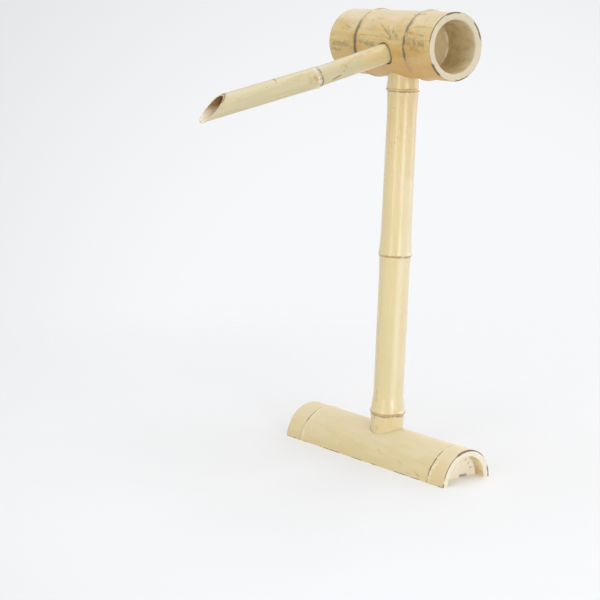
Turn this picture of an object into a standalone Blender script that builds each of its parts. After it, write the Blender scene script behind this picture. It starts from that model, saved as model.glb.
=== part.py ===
"""Bamboo water spout: a half culm as foot, a post, a thick head that swivels on the post and a thin spout.

Metres, +Z up. The origin is the post's axis on the floor. +X runs along the foot to its right end, and the
spout reaches towards -Y. Culms are turned about their own Z axis, which is the way they grew.
"""

import math

import bmesh
import bpy
import numpy as np
from mathutils import Vector

# Fits and drawing accuracy
FIT_GAP = 0.0003  # between pieces that touch
OVERRUN = 0.004  # how far a cutter reaches past what it cuts
WELD_DISTANCE = 0.00001
CORNER_ANGLE = math.radians(35)
LARGE_STEPS = 40
POST_STEPS = 28
SPOUT_STEPS = 24
SMALL_STEPS = 16
TUBE_RESOLUTION = 4

# Foot: a half culm that lies on its sawn edges, with the post in its crown
BASE_LEFT_LENGTH = 0.1547
BASE_RIGHT_LENGTH = 0.1446
BASE_RADIUS = 0.0444
BASE_WALL = 0.0089
BASE_SAW_RISE = 0.0016  # the saw cut runs this far above the culm's axis
BASE_BACK_SHIFT = 0.0021  # the culm's axis lies this far behind the post's
BASE_LEFT_RECESS = 0.0302  # from the left end to the node's scar
BASE_RIGHT_RECESS = 0.0251
BASE_RIDGE = 0.0016
BASE_NODE_REACH = 0.014
BASE_DIAPHRAGM = 0.0050
BASE_DIAPHRAGM_LEAD = 0.0028  # how far a diaphragm's middle lies past the node's scar
BASE_DISH = 0.0042
NOTCH_WIDTH = 0.015
NOTCH_HEIGHT = 0.003
NOTCH_SHIFT = 0.016

# Post: a bored culm with three nodes
POST_FOOT_RADIUS = 0.0222
POST_BODY_RADIUS = 0.0204
POST_NECK_RADIUS = 0.0197
POST_TOP_RADIUS = 0.0207
POST_WALL = 0.0048
POST_FOOT_NODE = 0.0636
POST_TOP_NODE_DROP = 0.0594  # below the head's middle
POST_MIDDLE_NODE_SHARE = 0.4984  # of the way from the foot node to the top one
POST_RIDGE = 0.0026
POST_NODE_REACH = 0.030
POST_DIAPHRAGM = 0.006
POST_TONGUE_SET_BACK = 0.008  # the cut-away front of the post's top ends this far behind its axis
POST_RIM_RISE = 0.0125  # the whole rim stands this far above the head's inner floor

# Head: a thick culm across the post's top
HEAD_HEIGHT = 0.555
HEAD_YAW = math.radians(-7.5)
HEAD_LEFT_LENGTH = 0.1091
HEAD_RIGHT_LENGTH = 0.1001
HEAD_RADIUS = 0.0429
HEAD_WALL = 0.0095
HEAD_LEFT_NODE = 0.0516
HEAD_RIGHT_NODE = 0.0502
HEAD_RIDGE = 0.0023
HEAD_NODE_REACH = 0.013
HEAD_DIAPHRAGM = 0.0040
HEAD_DIAPHRAGM_LEAD = -0.0080
HEAD_DISH = 0.0030

# Spout: a thin culm with a kink at its node and a slanted mouth
SPOUT_SIDE_SHIFT = 0.0076  # its axis passes this far to the right of the post's
SPOUT_LOW_SHIFT = 0.0012
SPOUT_DROOP = math.radians(16.04)
SPOUT_KINK = math.radians(2.25)
SPOUT_ROOT_CLEARANCE = 0.0012  # in front of the post, so that the head can swivel
SPOUT_NODE = 0.1526
SPOUT_LIP = 0.3256
SPOUT_ROOT_RADIUS = 0.0129
SPOUT_WAIST_RADIUS = 0.0121
SPOUT_TIP_RADIUS = 0.0130
SPOUT_WALL = 0.0034
SPOUT_RIDGE = 0.0014
SPOUT_NODE_REACH = 0.013
SPOUT_DIAPHRAGM = 0.005
SPOUT_DIAPHRAGM_BORE = 0.0070
SPOUT_MOUTH_ANGLE = math.radians(35.3)
KINK_BLEND = 0.006
SOCKET_PLAY = 0.0008  # added to the head's hole for the spout, all on its upper right
SOCKET_PLAY_ANGLE = math.radians(30)

# Hose and its fittings
HOSE_RADIUS = 0.0060
HOSE_BORE_RADIUS = 0.0045
BARB_LENGTH = 0.012
FITTING_BORE_RADIUS = 0.0028
JOINER_COLLAR = 0.003
HOSE_TURN_DROP = 0.0138  # the outlet hose starts to turn over this far below the post's rim
HOSE_LEAD_IN = 0.017  # straight hose above the swivel joiner
HOSE_BEND_STRENGTH = 0.043
HOSE_TURN_END = 0.030  # where the outlet hose has reached the spout's axis, along that axis
HOSE_END = 0.088
HOSE_TURN_POINTS = 12
ELBOW_RADIUS = 0.012
ELBOW_POINTS = 7
ELBOW_LEG = 0.008
INLET_FLANGE_RADIUS = 0.0090
INLET_FLANGE = 0.0025
INLET_TAIL = 0.016
NUT_RADIUS = 0.0095
NUT_LENGTH = 0.0040
NUT_SIDES = 6
SEAL_START = 0.050
SEAL_LENGTH = 0.014

# Foot block and its screws
BLOCK_LENGTH = 0.072
BLOCK_WIDTH = 0.052
BLOCK_FLOOR = 0.008
SCREW_COVER = 0.0034  # of the half culm's wall left above a screw's point
SCREW_RADIUS = 0.0019
SCREW_HEAD_RADIUS = 0.0038
SCREW_HEAD = 0.0026
SCREW_POINT = 0.004
SCREW_SINK = 0.0008
SCREW_SLOT_WIDTH = 0.0008
SCREW_SLOT_DEPTH = 0.0010
SCREW_END_MARGIN = 0.0065
SCREW_SIDE_MARGIN = 0.0085

# A node along the culm: distance past its scar as a share of its reach, and height as a share of its ridge
NODE_FORM_SHARES = (
    (-1.00, 0.00),
    (-0.35, 0.16),
    (-0.09, 0.28),
    (-0.04, 0.84),
    (0.05, 1.00),
    (0.14, 0.52),
    (0.50, 0.30),
    (1.00, 0.00),
)
DISH_START_SHARE = 0.72  # a diaphragm's face curves up from here to the wall
DISH_MIDDLE_SHARES = (0.90, 0.35)

# Colours, as linear red, green and blue
HEAD_COLOUR = (0.55, 0.36, 0.15, 1.0)
POST_COLOUR = (0.74, 0.56, 0.27, 1.0)
BASE_COLOUR = (0.66, 0.49, 0.25, 1.0)
SPOUT_COLOUR = (0.62, 0.52, 0.28, 1.0)
BLOCK_COLOUR = (0.42, 0.27, 0.13, 1.0)
HOSE_COLOUR = (0.70, 0.75, 0.72, 1.0)
FITTING_COLOUR = (0.03, 0.03, 0.03, 1.0)
SEAL_COLOUR = (0.02, 0.02, 0.02, 1.0)
SCREW_COLOUR = (0.62, 0.60, 0.55, 1.0)

# Sizes that follow from those above
RIGHT_ANGLE = math.pi / 2
BASE_INNER = BASE_RADIUS - BASE_WALL
BASE_LEFT_NODE = BASE_LEFT_LENGTH - BASE_LEFT_RECESS
BASE_RIGHT_NODE = BASE_RIGHT_LENGTH - BASE_RIGHT_RECESS
SCREW_ACROSS = BLOCK_WIDTH / 2 - SCREW_SIDE_MARGIN
SCREW_CEILING = math.sqrt(BASE_RADIUS**2 - (SCREW_ACROSS + BASE_BACK_SHIFT) ** 2) - BASE_SAW_RISE
SCREW_LENGTH = SCREW_CEILING - SCREW_COVER - SCREW_SINK
HEAD_INNER = HEAD_RADIUS - HEAD_WALL
SPOUT_BORE = SPOUT_WAIST_RADIUS - SPOUT_WALL
BARB_RADIUS = HOSE_BORE_RADIUS - FIT_GAP
HOSE_HOLE = HOSE_RADIUS + FIT_GAP
HOSE_HEIGHT = BLOCK_FLOOR + HOSE_HOLE
POST_START = HOSE_HEIGHT + HOSE_HOLE + FIT_GAP
HEAD_HOLE = POST_TOP_RADIUS + FIT_GAP
CEILING_HEIGHT = HEAD_HEIGHT + math.sqrt(HEAD_INNER**2 - POST_TOP_RADIUS**2)
HEAD_FLOOR_HEIGHT = HEAD_HEIGHT - HEAD_INNER
HEAD_UNDERSIDE = HEAD_HEIGHT - HEAD_RADIUS
BASE_TOP = BASE_RADIUS - BASE_SAW_RISE
POST_TOP_NODE = HEAD_HEIGHT - POST_TOP_NODE_DROP
POST_MIDDLE_NODE = POST_FOOT_NODE + (POST_TOP_NODE - POST_FOOT_NODE) * POST_MIDDLE_NODE_SHARE
POST_NODES = (POST_FOOT_NODE, POST_MIDDLE_NODE, POST_TOP_NODE)
POST_END = CEILING_HEIGHT - FIT_GAP
POST_RIM_HEIGHT = HEAD_FLOOR_HEIGHT + POST_RIM_RISE
HOSE_TURN_START = POST_RIM_HEIGHT - HOSE_TURN_DROP
OUTLET_START = HOSE_TURN_START - HOSE_LEAD_IN
SWIVEL_HEIGHT = OUTLET_START - FIT_GAP - JOINER_COLLAR
ROOT_DROP_BACK = SPOUT_ROOT_RADIUS * math.sin(SPOUT_DROOP)
SPOUT_ROOT = (POST_TOP_RADIUS + SPOUT_ROOT_CLEARANCE + ROOT_DROP_BACK) / math.cos(SPOUT_DROOP)
ELBOW_TOP = HOSE_HEIGHT + ELBOW_RADIUS + JOINER_COLLAR
ELBOW_LEFT = -(ELBOW_RADIUS + ELBOW_LEG)


def clear_scene():
    for old in list(bpy.data.objects):
        bpy.data.objects.remove(old, do_unlink=True)


def new_collection(name):
    group = bpy.data.collections.new(name)
    bpy.context.scene.collection.children.link(group)
    return group


def new_material(name, colour, roughness, metallic=0.0):
    material = bpy.data.materials.new(name)
    material.use_nodes = True
    shader = material.node_tree.nodes["Principled BSDF"]
    shader.inputs["Base Color"].default_value = colour
    shader.inputs["Roughness"].default_value = roughness
    shader.inputs["Metallic"].default_value = metallic
    material.diffuse_color = colour
    return material


def new_empty(name, group, parent=None, location=(0, 0, 0), rotation=(0, 0, 0)):
    empty = bpy.data.objects.new(name, None)
    place(empty, group, parent, location, rotation)
    return empty


def place(obj, group, parent=None, location=(0, 0, 0), rotation=(0, 0, 0)):
    """Puts an object in a collection, at a place and turn measured from its parent."""
    group.objects.link(obj)
    obj.parent = parent
    obj.location = location
    obj.rotation_euler = rotation


def turned(name, outline, steps, closed=False):
    """An object turned about its Z axis from (radius, height) points that run down its outer side."""
    mesh = bpy.data.meshes.new(name)
    edges = [(i, i + 1) for i in range(len(outline) - 1)]
    if closed:
        edges.append((len(outline) - 1, 0))
    mesh.from_pydata([(radius, 0, height) for radius, height in outline], edges, [])
    obj = bpy.data.objects.new(name, mesh)
    screw = obj.modifiers.new("turn", "SCREW")
    screw.axis = "Z"
    screw.steps = steps
    screw.render_steps = steps
    screw.use_merge_vertices = True
    screw.merge_threshold = WELD_DISTANCE
    return obj


def cylinder(name, radius, low, high, steps=SMALL_STEPS):
    """A cylinder about its Z axis from the height low to the height high."""
    return turned(name, [(0, high), (radius, high), (radius, low), (0, low)], steps)


def box(name, low, high):
    """A box between two corners."""
    mesh = bpy.data.meshes.new(name)
    built = bmesh.new()
    bmesh.ops.create_cube(built, size=1)
    size = Vector(high) - Vector(low)
    bmesh.ops.scale(built, vec=size, verts=built.verts)
    bmesh.ops.translate(built, vec=Vector(low) + size / 2, verts=built.verts)
    built.to_mesh(mesh)
    built.free()
    return bpy.data.objects.new(name, mesh)


def swept(name, points, radius):
    """A closed round bar of this radius along a line of points."""
    curve = bpy.data.curves.new(name, "CURVE")
    curve.dimensions = "3D"
    curve.bevel_depth = radius
    curve.bevel_resolution = TUBE_RESOLUTION
    curve.use_fill_caps = True
    spline = curve.splines.new("POLY")
    spline.points.add(len(points) - 1)
    for point, place_on_line in zip(spline.points, points):
        point.co = (*place_on_line, 1)
    guide = bpy.data.objects.new(name + "_line", curve)
    bpy.context.scene.collection.objects.link(guide)
    graph = bpy.context.evaluated_depsgraph_get()
    mesh = bpy.data.meshes.new_from_object(guide.evaluated_get(graph))
    bpy.data.objects.remove(guide)
    built = bmesh.new()
    built.from_mesh(mesh)
    bmesh.ops.remove_doubles(built, verts=built.verts, dist=WELD_DISTANCE)
    bmesh.ops.recalc_face_normals(built, faces=built.faces)
    built.to_mesh(mesh)
    built.free()
    mesh.name = name
    return bpy.data.objects.new(name, mesh)


def combine(obj, other, operation, cutters, parent=None, location=(0, 0, 0), rotation=(0, 0, 0)):
    """Cuts or joins another shape into an object and keeps that shape with the cutters."""
    place(other, cutters, parent, location, rotation)
    other.hide_render = True
    other.display_type = "WIRE"
    step = obj.modifiers.new(other.name, "BOOLEAN")
    step.operation = operation
    step.solver = "EXACT"
    step.object = other


def settle(obj):
    """Makes an object's modifiers part of its mesh, with round faces smooth and corners sharp."""
    graph = bpy.context.evaluated_depsgraph_get()
    mesh = bpy.data.meshes.new_from_object(obj.evaluated_get(graph))
    obj.modifiers.clear()
    obj.data = mesh
    mesh.name = obj.name
    mesh.shade_smooth()
    mesh.set_sharp_from_angle(angle=CORNER_ANGLE)


def outer_side(low, high, girth, nodes, ridge):
    """(radius, height) points down a culm's outer side.

    girth lists (height, radius) from the bottom up, and each node, (height, reach), adds its ridge to that.
    """
    steps, rises = np.array(NODE_FORM_SHARES).T
    heights = {low, high, *(height for height, _ in girth)}
    heights |= {node + reach * step for node, reach in nodes for step in steps}
    points = []
    for height in sorted((h for h in heights if low <= h <= high), reverse=True):
        radius = np.interp(height, *zip(*girth))
        for node, reach in nodes:
            radius += ridge * np.interp((height - node) / reach, steps, rises)
        points.append((float(radius), float(height)))
    return points


def dished(inner, face, dish):
    """(radius, height) points across a diaphragm's face, from its middle to the wall."""
    radius_share, dish_share = DISH_MIDDLE_SHARES
    return [
        (0, face),
        (inner * DISH_START_SHARE, face),
        (inner * radius_share, face + dish * dish_share),
        (inner, face + dish),
    ]


def recessed_culm(name, ends, radius, inner, nodes, ridge, reach, plates, thickness, dish):
    """A solid culm between two ends, hollowed at each end down to the diaphragm there."""
    half = thickness / 2
    upper = dished(inner, plates[1] + half, dish)
    lower = dished(inner, plates[0] - half, -dish)
    outline = upper + [(inner, ends[1])]
    girth = [(end, radius) for end in ends]
    outline += outer_side(*ends, girth, [(node, reach) for node in nodes], ridge)
    outline += [(inner, ends[0])] + lower[::-1]
    return turned(name, outline, LARGE_STEPS)


def chamber(name, inner, plates, thickness, dish):
    """The hollow between a culm's two diaphragms."""
    half = thickness / 2
    upper = dished(inner, plates[1] - half, -dish)
    lower = dished(inner, plates[0] + half, dish)
    return turned(name, upper + lower[::-1], LARGE_STEPS)


def bored_side(low, high, inner, nodes, thickness, bore):
    """(radius, height) points up a culm's inner side, past diaphragms that are bored through."""
    points = [(inner, low)]
    for node in nodes:
        fillet = (inner - bore) / 2
        points += [
            (inner, node - thickness / 2 - fillet),
            (inner - fillet, node - thickness / 2),
            (bore, node - thickness / 2),
            (bore, node + thickness / 2),
            (inner - fillet, node + thickness / 2),
            (inner, node + thickness / 2 + fillet),
        ]
    return points + [(inner, high)]


def build_base(parts, cutters, material):
    """The half culm: sawn flat below, holed for the post, the inlet and the block's screws."""
    ends = (-BASE_LEFT_LENGTH, BASE_RIGHT_LENGTH)
    nodes = (-BASE_LEFT_NODE, BASE_RIGHT_NODE)
    plates = [node + BASE_DIAPHRAGM_LEAD for node in nodes]
    axis = new_empty(
        "base_axis",
        parts,
        location=(0, BASE_BACK_SHIFT, -BASE_SAW_RISE),
        rotation=(0, RIGHT_ANGLE, 0),
    )
    shape = (BASE_DIAPHRAGM, BASE_DISH)
    base = recessed_culm(
        "base_culm", ends, BASE_RADIUS, BASE_INNER, nodes, BASE_RIDGE, BASE_NODE_REACH, plates, *shape
    )
    place(base, parts, axis)
    base.data.materials.append(material)
    combine(base, chamber("base_hollow", BASE_INNER, plates, *shape), "DIFFERENCE", cutters, axis)
    side = BASE_RADIUS + BASE_RIDGE + OVERRUN
    saw = box(
        "base_saw",
        (ends[0] - OVERRUN, BASE_BACK_SHIFT - side, -BASE_SAW_RISE - side),
        (ends[1] + OVERRUN, BASE_BACK_SHIFT + side, 0),
    )
    combine(base, saw, "DIFFERENCE", cutters)
    post_hole = cylinder(
        "base_post_hole", POST_FOOT_RADIUS + FIT_GAP, POST_START, BASE_RADIUS + OVERRUN, POST_STEPS
    )
    combine(base, post_hole, "DIFFERENCE", cutters)
    plate = BASE_DIAPHRAGM + BASE_DISH + OVERRUN
    middle = BASE_BACK_SHIFT + NOTCH_SHIFT
    notch = box(
        "base_notch",
        (plates[1] - plate, middle - NOTCH_WIDTH / 2, -OVERRUN),
        (plates[1] + plate, middle + NOTCH_WIDTH / 2, NOTCH_HEIGHT),
    )
    combine(base, notch, "DIFFERENCE", cutters)
    inlet_hole = cylinder("base_inlet_hole", HOSE_HOLE, plates[0] - plate, plates[0] + plate)
    turn = (0, RIGHT_ANGLE, 0)
    combine(base, inlet_hole, "DIFFERENCE", cutters, None, (0, 0, HOSE_HEIGHT), turn)
    for number, spot in enumerate(screw_spots(), 1):
        pilot = screw_shape(f"base_pilot_{number}", FIT_GAP)
        combine(base, pilot, "DIFFERENCE", cutters, None, spot)
    return base


def screw_spots():
    """Where the block's four screws start."""
    along = BLOCK_LENGTH / 2 - SCREW_END_MARGIN
    return [(x, y, SCREW_SINK) for x in (-along, along) for y in (-SCREW_ACROSS, SCREW_ACROSS)]


def screw_shape(name, grown=0):
    """A countersunk screw that points up, or with grown its hole, open below."""
    top = SCREW_LENGTH + grown
    start = -SCREW_SINK - OVERRUN if grown else 0
    outline = [
        (0, top),
        (SCREW_RADIUS + grown, top - SCREW_POINT),
        (SCREW_RADIUS + grown, SCREW_HEAD + grown),
        (SCREW_HEAD_RADIUS + grown, 0),
    ]
    if grown:
        outline.append((SCREW_HEAD_RADIUS + grown, start))
    return turned(name, outline + [(0, start)], SMALL_STEPS)


def build_screws(parts, cutters, material):
    side = SCREW_HEAD_RADIUS + OVERRUN
    for number, spot in enumerate(screw_spots(), 1):
        screw = screw_shape(f"block_screw_{number}")
        place(screw, parts, None, spot)
        screw.data.materials.append(material)
        slot = box(
            f"screw_slot_{number}",
            (-SCREW_SLOT_WIDTH / 2, -side, -OVERRUN),
            (SCREW_SLOT_WIDTH / 2, side, SCREW_SLOT_DEPTH),
        )
        combine(screw, slot, "DIFFERENCE", cutters, None, spot)


def build_block(parts, cutters, material):
    """The wooden block that fills the arch under the crown and takes the post's foot."""
    block = box(
        "foot_block",
        (-BLOCK_LENGTH / 2, -BLOCK_WIDTH / 2, 0),
        (BLOCK_LENGTH / 2, BLOCK_WIDTH / 2, BASE_RADIUS),
    )
    place(block, parts)
    block.data.materials.append(material)
    reach = BLOCK_LENGTH / 2 + OVERRUN
    arch = cylinder("block_arch", BASE_INNER - FIT_GAP, -reach, reach, LARGE_STEPS)
    centre = (0, BASE_BACK_SHIFT, -BASE_SAW_RISE)
    combine(block, arch, "INTERSECT", cutters, None, centre, (0, RIGHT_ANGLE, 0))
    socket = cylinder(
        "block_socket", POST_FOOT_RADIUS + FIT_GAP, POST_START - FIT_GAP, BASE_RADIUS + OVERRUN, POST_STEPS
    )
    combine(block, socket, "DIFFERENCE", cutters)
    channel = box(
        "block_channel", (-reach, -HOSE_HOLE, BLOCK_FLOOR), (HOSE_HOLE, HOSE_HOLE, BASE_RADIUS + OVERRUN)
    )
    combine(block, channel, "DIFFERENCE", cutters)
    for number, spot in enumerate(screw_spots(), 1):
        combine(block, screw_shape(f"block_hole_{number}", FIT_GAP), "DIFFERENCE", cutters, None, spot)


def build_post(parts, cutters, material):
    """The bored post, cut away in front at its top so that the hose can turn into the head."""
    girth = [
        (POST_START, POST_FOOT_RADIUS),
        (POST_NODES[0], POST_FOOT_RADIUS),
        (POST_NODES[0] + POST_NODE_REACH, POST_BODY_RADIUS),
        (POST_NODES[1], POST_BODY_RADIUS),
        (POST_NODES[1] + POST_NODE_REACH, POST_BODY_RADIUS),
        (POST_NODES[2] - POST_NODE_REACH, POST_NECK_RADIUS),
        (HEAD_UNDERSIDE, POST_TOP_RADIUS),
        (POST_END, POST_TOP_RADIUS),
    ]
    reaches = (POST_NODES[0] - BASE_TOP, POST_NODE_REACH, HEAD_UNDERSIDE - POST_NODES[2])
    outer = outer_side(POST_START, POST_END, girth, list(zip(POST_NODES, reaches)), POST_RIDGE)
    inner = bored_side(
        POST_START, POST_END, POST_NECK_RADIUS - POST_WALL, POST_NODES, POST_DIAPHRAGM, HOSE_HOLE
    )
    post = turned("post_culm", outer + inner, POST_STEPS, closed=True)
    place(post, parts)
    post.data.materials.append(material)
    side = POST_TOP_RADIUS + OVERRUN
    front = box(
        "post_front_cut", (-side, -side, POST_RIM_HEIGHT), (side, POST_TONGUE_SET_BACK, POST_END + OVERRUN)
    )
    combine(post, front, "DIFFERENCE", cutters, None, (0, 0, 0), (0, 0, HEAD_YAW))
    return post


def build_head(parts, cutters, pivot, socket, material):
    """The thick culm across the top, holed below for the post and in front for the spout."""
    ends = (-HEAD_LEFT_LENGTH, HEAD_RIGHT_LENGTH)
    nodes = (-HEAD_LEFT_NODE, HEAD_RIGHT_NODE)
    plates = [node + HEAD_DIAPHRAGM_LEAD for node in nodes]
    turn = (0, RIGHT_ANGLE, 0)
    shape = (HEAD_DIAPHRAGM, HEAD_DISH)
    head = recessed_culm(
        "head_culm", ends, HEAD_RADIUS, HEAD_INNER, nodes, HEAD_RIDGE, HEAD_NODE_REACH, plates, *shape
    )
    place(head, parts, pivot, (0, 0, 0), turn)
    head.data.materials.append(material)
    hollow = chamber("head_hollow", HEAD_INNER, plates, *shape)
    combine(head, hollow, "DIFFERENCE", cutters, pivot, (0, 0, 0), turn)
    post_hole = cylinder("head_post_hole", HEAD_HOLE, -HEAD_RADIUS - OVERRUN, 0, POST_STEPS)
    combine(head, post_hole, "DIFFERENCE", cutters, pivot)
    play = SOCKET_PLAY
    spout_hole = cylinder(
        "head_spout_hole", SPOUT_ROOT_RADIUS + FIT_GAP + play, 0, HEAD_RADIUS + OVERRUN, SPOUT_STEPS
    )
    shift = (play * math.cos(SOCKET_PLAY_ANGLE), play * math.sin(SOCKET_PLAY_ANGLE), 0)
    combine(head, spout_hole, "DIFFERENCE", cutters, socket, shift)
    return head


def bend_at_node(mesh):
    """Turns all of the spout past its node up by the kink, softly over a short blend."""
    for vertex in mesh.vertices:
        share = (vertex.co.z - SPOUT_NODE + KINK_BLEND) / (2 * KINK_BLEND)
        share = min(max(share, 0), 1)
        angle = SPOUT_KINK * share * share * (3 - 2 * share)
        along = vertex.co.z - SPOUT_NODE
        up = vertex.co.y
        vertex.co.y = up * math.cos(angle) + along * math.sin(angle)
        vertex.co.z = SPOUT_NODE + along * math.cos(angle) - up * math.sin(angle)


def build_spout(parts, cutters, socket, material):
    """The thin culm, turned straight, cut on a slant at its mouth and then bent at its node."""
    girth = [
        (SPOUT_ROOT, SPOUT_ROOT_RADIUS),
        (HEAD_RADIUS, SPOUT_ROOT_RADIUS),
        (SPOUT_NODE - SPOUT_NODE_REACH, SPOUT_WAIST_RADIUS),
        (SPOUT_NODE, SPOUT_WAIST_RADIUS),
        (SPOUT_NODE + SPOUT_NODE_REACH, SPOUT_TIP_RADIUS),
        (SPOUT_LIP, SPOUT_TIP_RADIUS),
    ]
    outer = outer_side(SPOUT_ROOT, SPOUT_LIP, girth, [(SPOUT_NODE, SPOUT_NODE_REACH)], SPOUT_RIDGE)
    inner = bored_side(
        SPOUT_ROOT, SPOUT_LIP, SPOUT_BORE, (SPOUT_NODE,), SPOUT_DIAPHRAGM, SPOUT_DIAPHRAGM_BORE
    )
    spout = turned("spout_culm", outer + inner, SPOUT_STEPS, closed=True)
    place(spout, parts, socket)
    spout.data.materials.append(material)
    side = SPOUT_TIP_RADIUS + OVERRUN
    length = 2 * side / math.sin(SPOUT_MOUTH_ANGLE)
    mouth = box("spout_mouth_cut", (-side, -OVERRUN, 0), (side, length, length))
    lip = (0, -SPOUT_TIP_RADIUS, SPOUT_LIP)
    combine(spout, mouth, "DIFFERENCE", cutters, socket, lip, (SPOUT_MOUTH_ANGLE - RIGHT_ANGLE, 0, 0))
    return spout


def elbow_line(start, leg_end):
    """Points along the foot elbow, from its left end, round the bend and up."""
    points = [(start, 0, HOSE_HEIGHT)]
    for step in range(ELBOW_POINTS):
        angle = RIGHT_ANGLE * step / (ELBOW_POINTS - 1)
        forward = ELBOW_RADIUS * (math.sin(angle) - 1)
        rise = ELBOW_RADIUS * (1 - math.cos(angle))
        points.append((forward, 0, HOSE_HEIGHT + rise))
    return points + [(0, 0, leg_end)]


def build_elbow(parts, cutters, material):
    """The elbow below the post: a thick bend with a thinner tail for a hose at each end."""
    elbow = swept("foot_elbow", elbow_line(ELBOW_LEFT, ELBOW_TOP), HOSE_RADIUS)
    place(elbow, parts)
    elbow.data.materials.append(material)
    tails = swept("elbow_tails", elbow_line(ELBOW_LEFT - BARB_LENGTH, ELBOW_TOP + BARB_LENGTH), BARB_RADIUS)
    combine(elbow, tails, "UNION", cutters)
    past = BARB_LENGTH + OVERRUN
    bore = swept("elbow_bore", elbow_line(ELBOW_LEFT - past, ELBOW_TOP + past), FITTING_BORE_RADIUS)
    combine(elbow, bore, "DIFFERENCE", cutters)


def straight_hose(name, low, high):
    """A length of hose about its Z axis."""
    outline = [
        (HOSE_RADIUS, high),
        (HOSE_RADIUS, low),
        (HOSE_BORE_RADIUS, low),
        (HOSE_BORE_RADIUS, high),
    ]
    return turned(name, outline, SMALL_STEPS, closed=True)


def build_riser(parts, hose_material, fitting_material):
    """The hose up the post and the joiner on its top, about which the head's hose turns."""
    hose = straight_hose("riser_hose", ELBOW_TOP + FIT_GAP, SWIVEL_HEIGHT - FIT_GAP)
    place(hose, parts)
    hose.data.materials.append(hose_material)
    low, high = -BARB_LENGTH, JOINER_COLLAR + BARB_LENGTH
    outline = [
        (BARB_RADIUS, high),
        (BARB_RADIUS, JOINER_COLLAR),
        (HOSE_RADIUS, JOINER_COLLAR),
        (HOSE_RADIUS, 0),
        (BARB_RADIUS, 0),
        (BARB_RADIUS, low),
        (FITTING_BORE_RADIUS, low),
        (FITTING_BORE_RADIUS, high),
    ]
    joiner = turned("swivel_joiner", outline, SMALL_STEPS, closed=True)
    place(joiner, parts, None, (0, 0, SWIVEL_HEIGHT))
    joiner.data.materials.append(fitting_material)


def build_inlet(parts, cutters, hose_material, fitting_material):
    """The hose tail through the left diaphragm, its nut and the hose from it to the elbow."""
    plate = -BASE_LEFT_NODE + BASE_DIAPHRAGM_LEAD
    inside = plate + BASE_DIAPHRAGM / 2 + FIT_GAP
    outside = plate - BASE_DIAPHRAGM / 2 - FIT_GAP
    flange_end = inside + INLET_FLANGE
    thread_end = outside - NUT_LENGTH
    turn = (0, RIGHT_ANGLE, 0)
    outline = [
        (BARB_RADIUS, flange_end + BARB_LENGTH),
        (BARB_RADIUS, flange_end),
        (INLET_FLANGE_RADIUS, flange_end),
        (INLET_FLANGE_RADIUS, inside),
        (HOSE_RADIUS, inside),
        (HOSE_RADIUS, thread_end),
        (BARB_RADIUS, thread_end),
        (BARB_RADIUS, thread_end - INLET_TAIL),
        (FITTING_BORE_RADIUS, thread_end - INLET_TAIL),
        (FITTING_BORE_RADIUS, flange_end + BARB_LENGTH),
    ]
    joiner = turned("inlet_joiner", outline, SMALL_STEPS, closed=True)
    place(joiner, parts, None, (0, 0, HOSE_HEIGHT), turn)
    joiner.data.materials.append(fitting_material)
    nut_outline = [(0, outside), (NUT_RADIUS, outside), (NUT_RADIUS, thread_end), (0, thread_end)]
    nut = turned("inlet_nut", nut_outline, NUT_SIDES)
    place(nut, parts, None, (0, 0, HOSE_HEIGHT), turn)
    nut.data.materials.append(fitting_material)
    thread = cylinder("nut_bore", HOSE_HOLE, thread_end - OVERRUN, outside + OVERRUN)
    combine(nut, thread, "DIFFERENCE", cutters, None, (0, 0, HOSE_HEIGHT), turn)
    hose = straight_hose("supply_hose", flange_end + FIT_GAP, ELBOW_LEFT - FIT_GAP)
    place(hose, parts, None, (0, 0, HOSE_HEIGHT), turn)
    hose.data.materials.append(hose_material)


def outlet_line(past=0):
    """Points of the hose in the head, measured from the head's pivot.

    It rises straight off the swivel joiner, turns over into the spout's axis and runs on along that.
    """
    start = Vector((0, 0, OUTLET_START - HEAD_HEIGHT))
    rise = Vector((0, 0, HOSE_TURN_START - HEAD_HEIGHT))
    middle = Vector((SPOUT_SIDE_SHIFT, 0, -SPOUT_LOW_SHIFT))
    direction = Vector((0, -math.cos(SPOUT_DROOP), -math.sin(SPOUT_DROOP)))
    turned_in = middle + direction * HOSE_TURN_END
    points = [start - Vector((0, 0, past)), rise]
    for step in range(1, HOSE_TURN_POINTS):
        t = step / HOSE_TURN_POINTS
        from_rise = rise * (2 * t**3 - 3 * t**2 + 1)
        from_end = turned_in * (3 * t**2 - 2 * t**3)
        leaving = Vector((0, 0, HOSE_BEND_STRENGTH)) * (t**3 - 2 * t**2 + t)
        arriving = direction * HOSE_BEND_STRENGTH * (t**3 - t**2)
        points.append(from_rise + from_end + leaving + arriving)
    return points + [turned_in, middle + direction * (HOSE_END + past)]


def build_outlet(parts, cutters, pivot, socket, hose_material, seal_material):
    """The bent hose that the head carries and the rubber ring between it and the spout."""
    hose = swept("outlet_hose", outlet_line(), HOSE_RADIUS)
    place(hose, parts, pivot)
    hose.data.materials.append(hose_material)
    bore = swept("outlet_hose_bore", outlet_line(OVERRUN), HOSE_BORE_RADIUS)
    combine(hose, bore, "DIFFERENCE", cutters, pivot)
    end = SEAL_START + SEAL_LENGTH
    outside = SPOUT_BORE - FIT_GAP
    outline = [(outside, end), (outside, SEAL_START), (HOSE_HOLE, SEAL_START), (HOSE_HOLE, end)]
    seal = turned("spout_seal", outline, SPOUT_STEPS, closed=True)
    place(seal, parts, socket)
    seal.data.materials.append(seal_material)


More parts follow.
